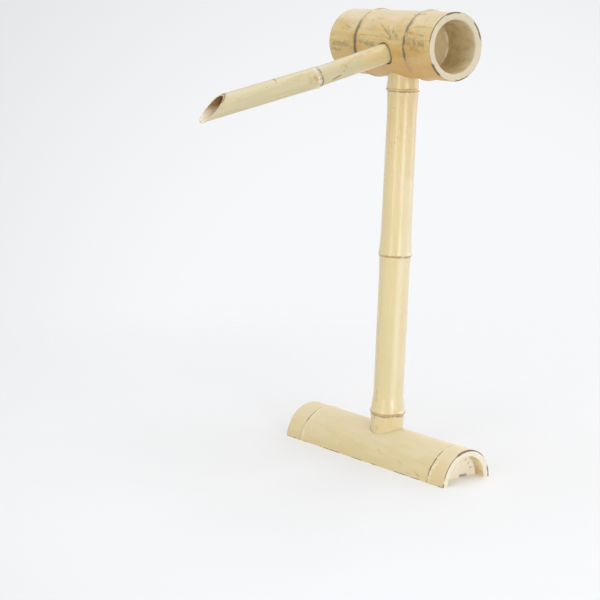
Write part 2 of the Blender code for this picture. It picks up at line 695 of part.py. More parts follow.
def main():
    clear_scene()
    parts = new_collection("bamboo_water_spout")
    cutters = new_collection("cutters")
    hose = new_material("clear_hose", HOSE_COLOUR, 0.25)
    fitting = new_material("black_fitting", FITTING_COLOUR, 0.45)
    build_base(parts, cutters, new_material("matte_bamboo", BASE_COLOUR, 0.60))
    build_block(parts, cutters, new_material("block_wood", BLOCK_COLOUR, 0.70))
    build_screws(parts, cutters, new_material("screw_steel", SCREW_COLOUR, 0.35, 1.0))
    build_post(parts, cutters, new_material("glossy_bamboo", POST_COLOUR, 0.30))
    build_elbow(parts, cutters, fitting)
    build_inlet(parts, cutters, hose, fitting)
    build_riser(parts, hose, fitting)
    pivot = new_empty("head_pivot", parts, None, (0, 0, HEAD_HEIGHT), (0, 0, HEAD_YAW))
    socket = new_empty(
        "spout_axis", parts, pivot, (SPOUT_SIDE_SHIFT, 0, -SPOUT_LOW_SHIFT), (RIGHT_ANGLE + SPOUT_DROOP, 0, 0)
    )
    build_head(parts, cutters, pivot, socket, new_material("brown_bamboo", HEAD_COLOUR, 0.45))
    build_outlet(parts, cutters, pivot, socket, hose, new_material("seal_rubber", SEAL_COLOUR, 0.70))
    spout = build_spout(parts, cutters, socket, new_material("pale_bamboo", SPOUT_COLOUR, 0.40))
    bpy.context.view_layer.update()
    for piece in parts.objects:
        if piece.type == "MESH":
            settle(piece)
    bend_at_node(spout.data)


main()
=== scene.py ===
"""The looks of a bamboo water spout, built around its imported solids.

Metres, +Z up, in the frame of the solids: the origin is the post's axis on the floor, +X runs along the
foot to its right end and the spout reaches towards -Y. Each culm is modelled along its own Z axis, the way
it grew, and then put in its place. Its vertices keep where they were on the straight, even culm, and every
bamboo finish is drawn on those places, so that grain, node lines and marks follow the surface.
"""

import logging
import math
from collections.abc import Iterator
from contextlib import contextmanager
from dataclasses import dataclass, field
from enum import Enum, IntEnum
from functools import cached_property, reduce
from typing import ClassVar

import bpy
import numpy as np
from mathutils import Matrix, Vector, noise


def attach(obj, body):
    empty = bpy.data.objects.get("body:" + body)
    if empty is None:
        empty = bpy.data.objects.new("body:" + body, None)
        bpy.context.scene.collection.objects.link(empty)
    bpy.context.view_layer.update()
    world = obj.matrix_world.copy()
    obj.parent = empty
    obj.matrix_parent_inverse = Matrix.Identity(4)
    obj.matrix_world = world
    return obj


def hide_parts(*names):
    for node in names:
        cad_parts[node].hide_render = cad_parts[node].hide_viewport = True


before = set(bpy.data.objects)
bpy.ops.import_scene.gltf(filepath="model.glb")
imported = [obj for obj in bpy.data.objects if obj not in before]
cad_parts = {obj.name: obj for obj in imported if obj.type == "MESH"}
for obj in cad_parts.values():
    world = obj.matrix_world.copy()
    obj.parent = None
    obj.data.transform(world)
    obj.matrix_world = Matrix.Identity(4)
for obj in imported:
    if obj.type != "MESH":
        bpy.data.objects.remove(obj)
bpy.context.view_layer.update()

Pair = tuple[float, float]
Triple = tuple[float, float, float]
Colour = tuple[float, float, float, float]
Socket = bpy.types.NodeSocket
Value = float | tuple | Socket
Outline = list[Pair]

LOG = logging.getLogger("water_spout")
PLACE = "culm_place"
MM = 1000.0
SMOOTH_ANGLE = math.radians(38)
RIGHT_ANGLE = math.pi / 2
LEVEL = Matrix.Identity(4)
EVEN = (1.0, 1.0, 1.0)
# Points closer together than this become one.
WELD = 0.00001
# How far a cutter reaches past what it cuts.
OVERRUN = 0.004
# The play between two pieces of which one stands in the other.
FIT_GAP = 0.0003
# A radius that is small, but not 0.
TINY = 1e-6


def tone(red: int, green: int, blue: int) -> Colour:
    """A colour as it shows on a screen, made linear.

    Args:
        red: from 0 to 255.
        green: from 0 to 255.
        blue: from 0 to 255.

    Returns:
        The linear red, green, blue and 1.
    """
    shares = (value / 255 for value in (red, green, blue))
    linear = (s / 12.92 if s <= 0.04045 else ((s + 0.055) / 1.055) ** 2.4 for s in shares)
    return (*linear, 1.0)


def direction(degrees: float) -> Triple:
    """The direction from a culm's axis at an angle round it."""
    angle = math.radians(degrees)
    return (math.cos(angle), math.sin(angle), 0.0)


def eased(share: float) -> float:
    """A share from 0 to 1 with a soft start and a soft end."""
    return share * share * (3 - 2 * share)


class Zone(Enum):
    """The kinds of surface on a cut culm, in the order of its material slots."""

    SKIN = 0
    SAWN = 1
    INNER = 2
    PLATE = 3


class Edge(IntEnum):
    """The sawn edges of a culm: its lower end, its upper one, and those that a half culm lies on."""

    LOW = 0
    HIGH = 1
    FLOOR = 2


@dataclass(frozen=True)
class Pattern:
    """A noise pattern.

    Size is that of its blobs, in the unit of the place where it is read. Detail is how many finer layers it
    has, and roughness how strong they are. Stretch is what the place is multiplied by before it is read, so
    a small number draws the pattern out. Pair is where the pattern passes from bare to covered.
    """

    size: float
    detail: float = 2.0
    roughness: float = 0.5
    stretch: Triple = EVEN
    window: Pair = (0.0, 1.0)


LINE_SWELL = Pattern(0.22, 3.0, 0.6, window=(0.22, 0.60))
LINE_BREAKS = Pattern(0.5, stretch=(2.3, 2.3, 2.3))
STROKE_STRAY = Pattern(2.0)
STROKE_BLOBS = Pattern(1.5, 4.0, 0.7)
STROKE_DASHES = Pattern(1.0, 4.0, 0.65, (1.0, 1.0, 0.2))
STROKE_PATCHES = Pattern(6.0, 3.0, 0.6)
BURN_EDGE = Pattern(1.0, 3.0, 0.6, window=(0.25, 0.6))
FIBRES = Pattern(0.8, 3.0, 0.6, (1.0, 1.0, 0.03))
STREAKS = Pattern(6.0, stretch=(1.0, 1.0, 0.08))
SMUDGE_DASHES = Pattern(1.3, 3.0, 0.6, (1.0, 1.0, 0.2), (0.50, 0.70))
SMUDGE_PATCHES = Pattern(17.0, window=(0.48, 0.62))
FLECK_BLOBS = Pattern(2.1, 2.0, 0.6)
SPECKS = Pattern(6.5, stretch=(1.0, 1.0, 0.6))
PORES = Pattern(0.75, stretch=(1.0, 1.0, 0.1), window=(0.36, 0.16))
SAWN_CLOUDS = Pattern(6.0, 4.0, 0.65, window=(0.35, 0.7))
SAW_MARKS = Pattern(0.8, 3.0, 0.7, (0.3, 1.6, 1.0), (0.5, 0.7))
HOLLOW_FIBRES = Pattern(1.1, 3.0, 0.6, (1.0, 1.0, 0.05), (0.45, 0.7))
HOLLOW_BLOTCHES = Pattern(11.0, 5.0, 0.6, (1.0, 1.0, 0.7), (0.38, 0.68))
PLATE_MOTTLE = Pattern(7.0, 5.0, 0.65, window=(0.40, 0.68))
PLATE_GRIT = Pattern(1.1, 3.0, 0.7, window=(0.5, 0.68))
PLATE_DOTS = Pattern(2.1, window=(0.42, 0.24))
PLATE_PATCHES = Pattern(9.0, window=(0.46, 0.56))
FRINGE_TEARS = Pattern(0.9, 3.0, 0.7, window=(0.4, 0.65))
FRINGE_STAINS = Pattern(5.0, window=(0.5, 0.7))
CLEAN_STRETCHES = Pattern(26.0, 3.0, 0.6, window=(0.42, 0.56))

# How fast a node line's noise changes along the culm, for each millimetre.
LINE_PACE = 0.02
# How softly a line's gaps, a stroke's worn places and the ends of an arc begin.
GAP_BLUR = 0.12
WEAR_BLUR = 0.1
ARC_BLUR = 0.3
# A stroke's outer and inner side, in half widths, and the least square of its length.
STROKE_SIDE = (1.7, 0.1)
SHORTEST_RUN = 0.001
# From which cover a stroke is worn less, and by how much.
STROKE_CORE = 0.8
STROKE_THINNING = 0.2
# How far a stroke's edges stray, in millimetres, and how much its wear comes and goes.
STRAY_REACH = 1.6
PATCH_STRENGTH = 0.9
# The thin burnt line round every sawn edge: its width and its sides in millimetres, and how dark it is.
THIN_BURN = 0.45
THIN_BURN_SIDE = (0.3, -0.3)
THIN_BURN_SHARE = 0.75
# The sides of burns and of a hole's burnt edge, in millimetres.
BURN_SIDE = (0.35, -0.35)
HOLE_SIDE = (0.5, -0.5)
SAWN_HOLE_SIDE = (0.5, 0.2)
HOLE_RAGGEDNESS = 1.2
# How fast a burn's edge changes along the culm and round it.
BURN_PACE_ALONG = 0.12
BURN_PACE_ROUND = 7.0
# Where noise turns into the skin's light tone, and its clouds into their warm and cool one.
GROUND_WINDOW = (0.34, 0.66)
WARM_WINDOW = (0.46, 0.64)
COOL_WINDOW = (0.48, 0.66)
SECOND_CLOUDS_SHIFT = (71.0, 13.0, 37.0)
SECOND_CLOUDS_SIZE = 0.7
# Where the skin carries a painted sheen, on the side that faces the light, and painted shade on the other side,
# from -1 on the sheen side to 1 on the shaded one, and how much the clouds break that up.
PAINTED_SHEEN_WINDOW = (-0.15, -1.0)
PAINTED_SHADE_WINDOW = (-0.25, 0.75)
PAINTED_LIGHT_CLOUDS = 1.2
# How much smudge there is where it is thinnest.
SMUDGE_FLOOR = 0.15
# Flecks and specks: how far flecks reach from their line in millimetres, and the specks' sizes in cells.
FLECK_REACH = (2.2, 0.6)
FLECK_SHARE = 0.85
LARGEST_SPECK = 0.22
SPECK_SIDE = (0.02, -0.02)
SPECK_DARKNESS = 0.7
# The dark fibre close under the skin on a sawn end, in millimetres.
UNDER_SKIN = (1.0, 0.15)
# Where the wall of a slanted mouth turns pale with painted light on its lower side, in bores above the axis.
PAINTED_LIGHT_SIDE = (0.3, -0.7)
# A diaphragm's dots, rings and frayed white, in millimetres or in shares of the hollow's radius.
DOT_CHANCE = (0.55, 0.57)
DOTTED_RIM = (0.74, 0.84)
RING_SIDE = (1.1, 0.3)
RING_GAPS = (0.36, 0.56)
FRAYED_RIM = (0.985, 1.01)
FRAYED_WHITE = tone(244, 240, 226)


class Graph:
    """A material's node tree, with a short call for each kind of node that the finishes use."""

    def __init__(self, name: str) -> None:
        """Starts a material of this name."""
        self.material = bpy.data.materials.new(name)
        self.material.use_nodes = True
        self.tree = self.material.node_tree
        self.shader = self.tree.nodes["Principled BSDF"]

    @classmethod
    def of_world(cls, world: bpy.types.World) -> "Graph":
        """The same calls on a world's node tree."""
        graph = cls.__new__(cls)
        graph.tree = world.node_tree
        return graph

    def feed(self, socket: Socket, value: Value) -> None:
        """Links a socket to another one, or sets it to a constant."""
        if isinstance(value, bpy.types.NodeSocket):
            self.tree.links.new(value, socket)
        else:
            socket.default_value = value

    def node(self, kind: str, settings: dict, inputs: dict) -> bpy.types.Node:
        """Adds a node.

        Args:
            kind: the node's type.
            settings: its properties.
            inputs: what feeds its sockets, by name or number.

        Returns:
            The node.
        """
        made = self.tree.nodes.new(kind)
        for name, value in settings.items():
            setattr(made, name, value)
        for key, value in inputs.items():
            self.feed(made.inputs[key], value)
        return made

    def math(self, operation: str, a: Value, b: Value = 0.0, clamp: bool = False) -> Socket:
        """One sum on two numbers."""
        settings = {"operation": operation, "use_clamp": clamp}
        return self.node("ShaderNodeMath", settings, {0: a, 1: b}).outputs[0]

    def plus(self, a: Value, b: Value) -> Socket:
        """Two numbers added up."""
        return self.math("ADD", a, b)

    def minus(self, a: Value, b: Value) -> Socket:
        """One number less another."""
        return self.math("SUBTRACT", a, b)

    def folded(self, operation: str, values: tuple[Value, ...]) -> Value:
        """One operation on several numbers, from the first to the last."""
        return reduce(lambda result, value: self.math(operation, result, value), values)

    def largest(self, *values: Value) -> Value:
        """The largest of several numbers."""
        return self.folded("MAXIMUM", values)

    def smallest(self, *values: Value) -> Value:
        """The smallest of several numbers."""
        return self.folded("MINIMUM", values)

    def product(self, *values: Value) -> Value:
        """Several numbers multiplied."""
        return self.folded("MULTIPLY", values)

    def vector(self, operation: str, a: Value, b: Value = (0.0, 0.0, 0.0)) -> Socket:
        """One sum on two vectors, which gives a number for a length, a distance or a dot product."""
        made = self.node("ShaderNodeVectorMath", {"operation": operation}, {0: a, 1: b})
        return made.outputs[1 if operation in ("LENGTH", "DISTANCE", "DOT_PRODUCT") else 0]

    def scaled(self, vector: Socket, share: Value) -> Socket:
        """A vector times a number."""
        made = self.node("ShaderNodeVectorMath", {"operation": "SCALE"}, {0: vector, 3: share})
        return made.outputs[0]

    def split(self, vector: Socket) -> tuple[Socket, Socket, Socket]:
        """A vector's three numbers."""
        made = self.node("ShaderNodeSeparateXYZ", {}, {0: vector})
        return made.outputs[0], made.outputs[1], made.outputs[2]

    def joined(self, x: Value, y: Value, z: Value = 0.0) -> Socket:
        """A vector of three numbers."""
        return self.node("ShaderNodeCombineXYZ", {}, {0: x, 1: y, 2: z}).outputs[0]

    def stretched(self, place: Socket, pattern: Pattern) -> Socket:
        """The place at which a pattern is read, drawn out as the pattern says."""
        return place if pattern.stretch == EVEN else self.vector("MULTIPLY", place, pattern.stretch)

    def noise(self, place: Socket, pattern: Pattern, coloured: bool = False) -> Socket:
        """A pattern's soft noise from 0 to 1, or three such noises at once as a colour."""
        inputs = {
            "Vector": self.stretched(place, pattern),
            "Scale": 1 / pattern.size,
            "Detail": pattern.detail,
            "Roughness": pattern.roughness,
        }
        return self.node("ShaderNodeTexNoise", {}, inputs).outputs[1 if coloured else 0]

    def cells(self, place: Socket, pattern: Pattern) -> tuple[Socket, Socket]:
        """A pattern's random cells: how far a place is from its cell's point, and a random number for the cell."""
        inputs = {"Vector": self.stretched(place, pattern), "Scale": 1 / pattern.size}
        made = self.node("ShaderNodeTexVoronoi", {}, inputs)
        return made.outputs[0], self.split(made.outputs[1])[0]

    def cover(self, place: Socket, pattern: Pattern) -> Socket:
        """How much a pattern covers a place, from 0 to 1."""
        return self.step(self.noise(place, pattern), *pattern.window)

    def centred(self, noise_value: Socket) -> Socket:
        """Noise around 0 in place of 0.5."""
        return self.minus(noise_value, 0.5)

    def rising(self, base: Value, pattern: Socket, share: Value) -> Socket:
        """A base value that rises with a pattern, by a share of it."""
        return self.plus(base, self.product(pattern, share))

    def step(self, value: Value, low: float, high: float) -> Socket:
        """A soft step from 0 at low to 1 at high, or falling where high is the lower one."""
        settings = {"interpolation_type": "SMOOTHSTEP"}
        if low <= high:
            return self.node("ShaderNodeMapRange", settings, {0: value, 1: low, 2: high}).outputs[0]
        limits = {0: value, 1: high, 2: low, 3: 1.0, 4: 0.0}
        return self.node("ShaderNodeMapRange", settings, limits).outputs[0]

    def mix(self, share: Value, a: Value, b: Value) -> Socket:
        """Two colours mixed, from a at 0 to b at 1."""
        settings = {"data_type": "RGBA", "clamp_factor": True}
        return self.node("ShaderNodeMix", settings, {0: share, 6: a, 7: b}).outputs[2]

    def layered(self, colour: Value, layer: Colour, *shares: Value) -> Socket:
        """A colour with a layer of another one over it, as thick as the shares make it together."""
        return self.mix(self.product(*shares), colour, layer)

    def place(self) -> Socket:
        """The surface's place on its straight culm, in millimetres."""
        found = self.node("ShaderNodeAttribute", {"attribute_name": PLACE}, {}).outputs["Vector"]
        return self.scaled(found, MM)

    def object_place(self) -> Socket:
        """The surface's place on the whole object, in millimetres."""
        return self.scaled(self.node("ShaderNodeTexCoord", {}, {}).outputs["Object"], MM)

    def relief(self, height: Socket, depth: float) -> None:
        """Presses a pattern into the surface, to a depth in metres."""
        inputs = {"Height": height, "Distance": depth, "Strength": 1.0}
        self.feed(self.shader.inputs["Normal"], self.node("ShaderNodeBump", {}, inputs).outputs[0])

    def finish(self, colour: Value, roughness: Value, **constants: Value) -> bpy.types.Material:
        """Feeds the shader.

        Args:
            colour: the base colour.
            roughness: the roughness.
            constants: other sockets, with _ for a space in their names.

        Returns:
            The material.
        """
        self.feed(self.shader.inputs["Base Color"], colour)
        self.feed(self.shader.inputs["Roughness"], roughness)
        for name, value in constants.items():
            self.feed(self.shader.inputs[name.replace("_", " ")], value)
        return self.material


class Spot:
    """A place on a straight culm, in millimetres, as a material's graph reads it."""

    def __init__(self, graph: Graph) -> None:
        """Reads the place once for the whole graph."""
        self.graph = graph
        self.place = graph.place()
        self.x, self.y, self.z = graph.split(self.place)

    @cached_property
    def across(self) -> Socket:
        """The place without its height."""
        return self.graph.joined(self.x, self.y)

    @cached_property
    def radius(self) -> Socket:
        """How far it is from the culm's axis."""
        return self.graph.vector("LENGTH", self.across)

    @cached_property
    def way(self) -> Socket:
        """The direction from the culm's axis."""
        return self.graph.scaled(self.across, self.graph.math("DIVIDE", 1.0, self.radius))


@dataclass(frozen=True)
class NodeLine:
    """A line that runs round a culm beside its nodes.

    Offset, width and fade are in metres along the culm, from the node's scar. Gaps is the share of the
    circumference where the line thins out. Nodes are the numbers of the nodes that have it, or none for all,
    and arc is the middle and half the span of the stretch that it covers, in degrees, or none for all round.
    """

    offset: float
    width: float
    colour: Colour
    strength: float = 1.0
    gaps: float = 0.3
    fade: float = 0.0003
    seed: float = 0.0
    nodes: tuple[int, ...] = ()
    arc: tuple[float, ...] = ()


@dataclass(frozen=True)
class Stroke:
    """A mark on a culm's skin, from one place to another: degrees round the culm and metres along it."""

    start: Pair
    end: Pair
    width: float
    strength: float = 1.0
    ragged: float = 0.4
    dashed: bool = False


@dataclass(frozen=True)
class Marks:
    """Strokes of one colour."""

    colour: Colour
    strokes: tuple[Stroke, ...]

    @classmethod
    def of(cls, colour: Colour, *strokes: Stroke) -> "Marks":
        """The strokes that share a colour."""
        return cls(colour, strokes)


@dataclass(frozen=True)
class Burn:
    """A burnt stretch of a sawn edge's corner: which edge, the stretch in degrees and its width in metres."""

    edge: Edge
    middle: float
    half_span: float
    width: float


@dataclass(frozen=True)
class BambooFinish:
    """How one culm looks on its skin, its sawn ends, its inner wall and its diaphragms."""

    name: str
    light: Colour
    dark: Colour
    warm: Colour
    cool: Colour
    roughness: float
    sawn: Colour
    inner: Colour
    deep: Colour
    plate: Colour
    scorch: Colour
    lines: tuple[NodeLine, ...]
    smudge: Colour
    contrast: float = 0.5
    grain: float = 0.3
    coat: float = 0.0
    cloud_size: float = 24.0
    cloud_stretch: float = 0.6
    warm_share: float = 0.5
    cool_share: float = 0.4
    smudge_share: float = 0.2
    fleck_offset: float = 0.0
    fleck_cover: float = 0.35
    fleck: Colour = tone(243, 238, 222)
    speck: Colour = tone(120, 92, 58)
    speck_share: float = 0.1
    speck_size: float = 0.28
    scorch_width: float = 1.0
    scorch_share: float = 0.9
    relief_depth: float = 0.0001
    # Painted sheen and shade: the paler colour painted on the side that faces the light, how much of it and that
    # side in degrees; the browner colour painted on the other side, and how much of it.
    painted_sheen: Colour = tone(240, 230, 206)
    painted_sheen_share: float = 0.0
    painted_sheen_way: float = 180.0
    under: Colour = tone(200, 170, 110)
    painted_shade_share: float = 0.0
    blemishes: tuple[Triple, ...] = ()
    marks: tuple[Marks, ...] = ()
    burns: tuple[Burn, ...] = ()

    def clouds(self, share: float) -> Pattern:
        """Soft clouds at a share of this culm's cloud size."""
        return Pattern(self.cloud_size * share, 4.0, 0.6, (1.0, 1.0, self.cloud_stretch))

    def facing(self, spot: Spot, middle: float, half_span: float) -> Socket:
        """How far a place lies inside a stretch of the circumference, from 0 to 1."""
        cosine = spot.graph.vector("DOT_PRODUCT", spot.way, direction(middle))
        far, near = (math.cos(math.radians(half_span * share)) for share in (1 + ARC_BLUR, 1 - ARC_BLUR))
        return spot.graph.step(cosine, far, near)

    def beside_nodes(self, spot: Spot, nodes: tuple[float, ...], offset: float) -> Socket:
        """How far a place is from the line at an offset from the nearest node, in millimetres."""
        graph = spot.graph
        away = [graph.math("ABSOLUTE", graph.minus(spot.z, (node + offset) * MM)) for node in nodes]
        return graph.smallest(*away)

    def line_mask(self, spot: Spot, line: NodeLine, nodes: tuple[float, ...]) -> Socket:
        """How much of a node line covers a place.

        Args:
            spot: the place.
            line: the line.
            nodes: the nodes' places along the culm, in metres.

        Returns:
            From 0 to 1.
        """
        graph = spot.graph
        own = tuple(nodes[number] for number in line.nodes) or nodes
        away = self.beside_nodes(spot, own, line.offset)
        seeded = graph.vector("ADD", spot.way, (line.seed, line.seed * 0.7, 0.0))
        along = graph.vector("ADD", seeded, graph.joined(0.0, 0.0, graph.product(spot.z, LINE_PACE)))
        half = graph.product(graph.cover(along, LINE_SWELL), line.width * MM / 2)
        body = graph.step(graph.minus(away, half), line.fade * MM, -line.fade * MM)
        kept = graph.step(graph.noise(along, LINE_BREAKS), line.gaps - GAP_BLUR, line.gaps + GAP_BLUR)
        if line.arc:
            kept = graph.product(kept, self.facing(spot, *line.arc))
        return graph.product(body, kept, line.strength)

    def stroke_mask(
        self, graph: Graph, here: Socket, wear: tuple[Socket, Socket], stroke: Stroke, radius: float
    ) -> Socket:
        """How much of a stroke covers a place.

        Args:
            graph: the material's graph.
            here: the place on the unrolled skin, in millimetres.
            wear: the noise that breaks a stroke up, in blobs and in dashes along the culm.
            stroke: the stroke.
            radius: the culm's radius, in metres.

        Returns:
            From 0 to 1.
        """
        both = (stroke.start, stroke.end)
        start, end = (Vector((math.radians(angle) * radius * MM, along * MM, 0.0)) for angle, along in both)
        run = end - start
        from_start = graph.vector("SUBTRACT", here, tuple(start))
        dot = graph.vector("DOT_PRODUCT", from_start, tuple(run))
        share = graph.math("DIVIDE", dot, max(run.length_squared, SHORTEST_RUN), clamp=True)
        nearest = graph.scaled(graph.joined(run.x, run.y), share)
        away = graph.vector("DISTANCE", from_start, nearest)
        outside, inside = (stroke.width * MM / 2 * share for share in STROKE_SIDE)
        body = graph.step(away, outside, inside)
        thinned = graph.rising(wear[stroke.dashed], graph.minus(body, STROKE_CORE), STROKE_THINNING)
        kept = graph.step(thinned, stroke.ragged - WEAR_BLUR, stroke.ragged + WEAR_BLUR)
        return graph.product(body, kept, stroke.strength)

    def marked(self, spot: Spot, colour: Socket, radius: float) -> Socket:
        """The skin's colour with its own marks on it, whose edges stray a little."""
        graph, place = spot.graph, spot.place
        arc = graph.product(graph.math("ARCTAN2", spot.y, spot.x), radius * MM)
        strayed = graph.vector("SUBTRACT", graph.noise(place, STROKE_STRAY, coloured=True), (0.5, 0.5, 0.5))
        flat = graph.vector("MULTIPLY", graph.scaled(strayed, STRAY_REACH), (1.0, 1.0, 0.0))
        here = graph.vector("ADD", graph.joined(arc, spot.z), flat)
        patches = graph.product(graph.centred(graph.noise(place, STROKE_PATCHES)), PATCH_STRENGTH)
        wear = tuple(graph.plus(graph.noise(place, fine), patches) for fine in (STROKE_BLOBS, STROKE_DASHES))
        for group in self.marks:
            masks = [self.stroke_mask(graph, here, wear, stroke, radius) for stroke in group.strokes]
            colour = graph.mix(graph.largest(*masks), colour, group.colour)
        return colour

    def scorched(self, spot: Spot, away: dict[Edge, Socket]) -> Socket:
        """The burnt corners of the sawn edges: a thin dark line all round, and wider where a burn is listed.

        Args:
            spot: the place.
            away: how far the place is from each edge's corner, in millimetres.

        Returns:
            From 0 to 1.
        """
        graph = spot.graph
        along = graph.joined(0.0, 0.0, graph.product(spot.z, BURN_PACE_ALONG))
        ragged = graph.noise(graph.vector("ADD", graph.scaled(spot.way, BURN_PACE_ROUND), along), BURN_EDGE)
        thin = graph.product(graph.step(ragged, *BURN_EDGE.window), THIN_BURN * self.scorch_width)
        nearest = graph.minus(graph.smallest(*away.values()), thin)
        mask = graph.product(graph.step(nearest, *THIN_BURN_SIDE), THIN_BURN_SHARE)
        for burn in (burn for burn in self.burns if burn.edge in away):
            window = self.facing(spot, burn.middle, burn.half_span)
            reach = graph.product(window, graph.plus(0.5, ragged), burn.width * MM)
            edge = graph.minus(away[burn.edge], reach)
            mask = graph.largest(mask, graph.product(window, graph.step(edge, *BURN_SIDE)))
        return mask

    def ground(self, spot: Spot, fibre: Socket, cloud: Socket, second: Socket) -> Socket:
        """The skin's streaks between its dark and its light tone, under warm and cool clouds."""
        graph = spot.graph
        streak = graph.noise(spot.place, STREAKS)
        ground = graph.plus(graph.product(fibre, self.grain), graph.product(streak, 1 - self.grain))
        share = graph.product(graph.step(ground, *GROUND_WINDOW), 2 * self.contrast)
        colour = graph.mix(graph.plus(share, 0.5 - self.contrast), self.dark, self.light)
        colour = graph.layered(colour, self.warm, graph.step(cloud, *WARM_WINDOW), self.warm_share)
        return graph.layered(colour, self.cool, graph.step(second, *COOL_WINDOW), self.cool_share)

    def with_painted_sheen_and_shade(self, spot: Spot, cloud: Socket, colour: Socket) -> Socket:
        """The skin's colour with a painted sheen on the side that faces the light and painted shade on the other
        one.
        """
        graph = spot.graph
        turn = graph.vector("DOT_PRODUCT", spot.way, direction(self.painted_sheen_way + 180))
        drop = graph.rising(turn, graph.centred(cloud), PAINTED_LIGHT_CLOUDS)
        colour = graph.layered(colour, self.painted_sheen, graph.step(drop, *PAINTED_SHEEN_WINDOW), self.painted_sheen_share)
        return graph.layered(colour, self.under, graph.step(drop, *PAINTED_SHADE_WINDOW), self.painted_shade_share)

    def fleck_mask(self, spot: Spot, nodes: tuple[float, ...]) -> Socket:
        """How much of the pale flecks beside the nodes covers a place."""
        graph = spot.graph
        near = graph.step(self.beside_nodes(spot, nodes, self.fleck_offset), *FLECK_REACH)
        limit = 0.75 - 0.35 * self.fleck_cover
        blobs = graph.step(graph.noise(spot.place, FLECK_BLOBS), limit - 0.05, limit + 0.03)
        return graph.product(near, blobs, FLECK_SHARE)

    def speck_mask(self, spot: Spot) -> Socket:
        """How much of a dark speck covers a place."""
        graph = spot.graph
        distance, chance = graph.cells(spot.place, SPECKS)
        size = graph.product(chance, self.speck_size, LARGEST_SPECK)
        dot = graph.step(graph.minus(distance, size), *SPECK_SIDE)
        chosen = graph.step(chance, 1 - self.speck_share, 1.001 - self.speck_share)
        return graph.product(dot, chosen, SPECK_DARKNESS)

    def skin(self, culm: "Culm") -> bpy.types.Material:
        """The outer skin: streaked ground, clouds, painted sheen and shade, smudges, node lines, flecks, specks,
        marks (some of them painted light or shade) and burnt ends.
        """
        graph = Graph(f"{self.name}_skin")
        spot = Spot(graph)
        shifted = graph.vector("ADD", spot.place, SECOND_CLOUDS_SHIFT)
        fibre = graph.noise(spot.place, FIBRES)
        cloud = graph.noise(spot.place, self.clouds(1.0))
        colour = self.ground(spot, fibre, cloud, graph.noise(shifted, self.clouds(SECOND_CLOUDS_SIZE)))
        # Painted sheen on the lit side, painted shade on the other side.
        colour = self.with_painted_sheen_and_shade(spot, cloud, colour)
        cover = graph.plus(SMUDGE_FLOOR, graph.cover(shifted, SMUDGE_PATCHES))
        smudge = graph.product(cover, graph.cover(spot.place, SMUDGE_DASHES), self.smudge_share)
        colour = graph.mix(smudge, colour, self.smudge)
        for line in self.lines:
            colour = graph.mix(self.line_mask(spot, line, culm.nodes), colour, line.colour)
        if self.fleck_offset:
            colour = graph.mix(self.fleck_mask(spot, culm.nodes), colour, self.fleck)
        colour = graph.mix(self.speck_mask(spot), colour, self.speck)
        colour = self.marked(spot, colour, culm.radius)
        burnt = self.scorched(spot, culm.edge_distances(spot))
        for away in culm.hole_distances(spot):
            edge = graph.minus(away, graph.product(fibre, HOLE_RAGGEDNESS))
            burnt = graph.largest(burnt, graph.step(edge, *HOLE_SIDE))
        burnt = graph.product(burnt, self.scorch_share)
        colour = graph.mix(burnt, colour, self.scorch)
        dull = graph.largest(smudge, burnt)
        height = graph.rising(graph.product(fibre, 0.5), cloud, 1.2)
        graph.relief(graph.minus(height, graph.product(dull, 0.2)), self.relief_depth)
        roughness = graph.rising(graph.rising(self.roughness, graph.centred(cloud), 0.12), dull, 0.25)
        return graph.finish(colour, roughness, Coat_Weight=self.coat, Coat_Roughness=0.20)

    def sawn_end(self, culm: "Culm") -> bpy.types.Material:
        """A sawn face across the wall: cream, dense darker fibre ends towards the skin, a burnt outer corner."""
        graph = Graph(f"{self.name}_sawn")
        spot = Spot(graph)
        upper = graph.math("GREATER_THAN", spot.z, sum(culm.ends) / 2 * MM)
        away = {}
        for edge, elsewhere in ((Edge.LOW, upper), (Edge.HIGH, graph.minus(1.0, upper))):
            inside = graph.minus(culm.outer_radius(culm.ends[edge]) * MM, spot.radius)
            away[edge] = graph.rising(inside, elsewhere, culm.radius * MM)
        depth = graph.smallest(*away.values())
        ends, chance = graph.cells(spot.place, PORES)
        pore = graph.product(graph.step(ends, *PORES.window), graph.step(depth, culm.wall * MM, 0.4))
        soft = graph.noise(spot.place, SAWN_CLOUDS)
        fine = graph.noise(spot.place, SAW_MARKS)
        middle = graph.mix(0.5, self.sawn, self.plate)
        colour = graph.mix(graph.step(soft, *SAWN_CLOUDS.window), self.sawn, middle)
        colour = graph.layered(colour, self.inner, pore, 0.25)
        colour = graph.layered(colour, self.deep, graph.step(fine, *SAW_MARKS.window), 0.10)
        colour = graph.layered(colour, self.dark, graph.step(depth, *UNDER_SKIN), 0.5)
        burnt = self.scorched(spot, away)
        for beside in culm.hole_distances(spot):
            burnt = graph.largest(burnt, graph.step(beside, *SAWN_HOLE_SIDE))
        colour = graph.layered(colour, self.scorch, burnt, self.scorch_share)
        graph.relief(graph.plus(graph.product(fine, 0.5), graph.minus(soft, graph.product(pore, 0.5))), 0.0002)
        return graph.finish(colour, graph.rising(0.62, chance, 0.15))

    def inner_wall(self, culm: "Culm") -> bpy.types.Material:
        """The hollow's wall: lengthwise grain and dark blotches, with painted light that makes it paler close to a
        sawn end, on a slanted mouth only on its lower side.
        """
        graph = Graph(f"{self.name}_inner")
        spot = Spot(graph)
        fibre = graph.noise(spot.place, HOLLOW_FIBRES)
        blotch = graph.noise(spot.place, HOLLOW_BLOTCHES)
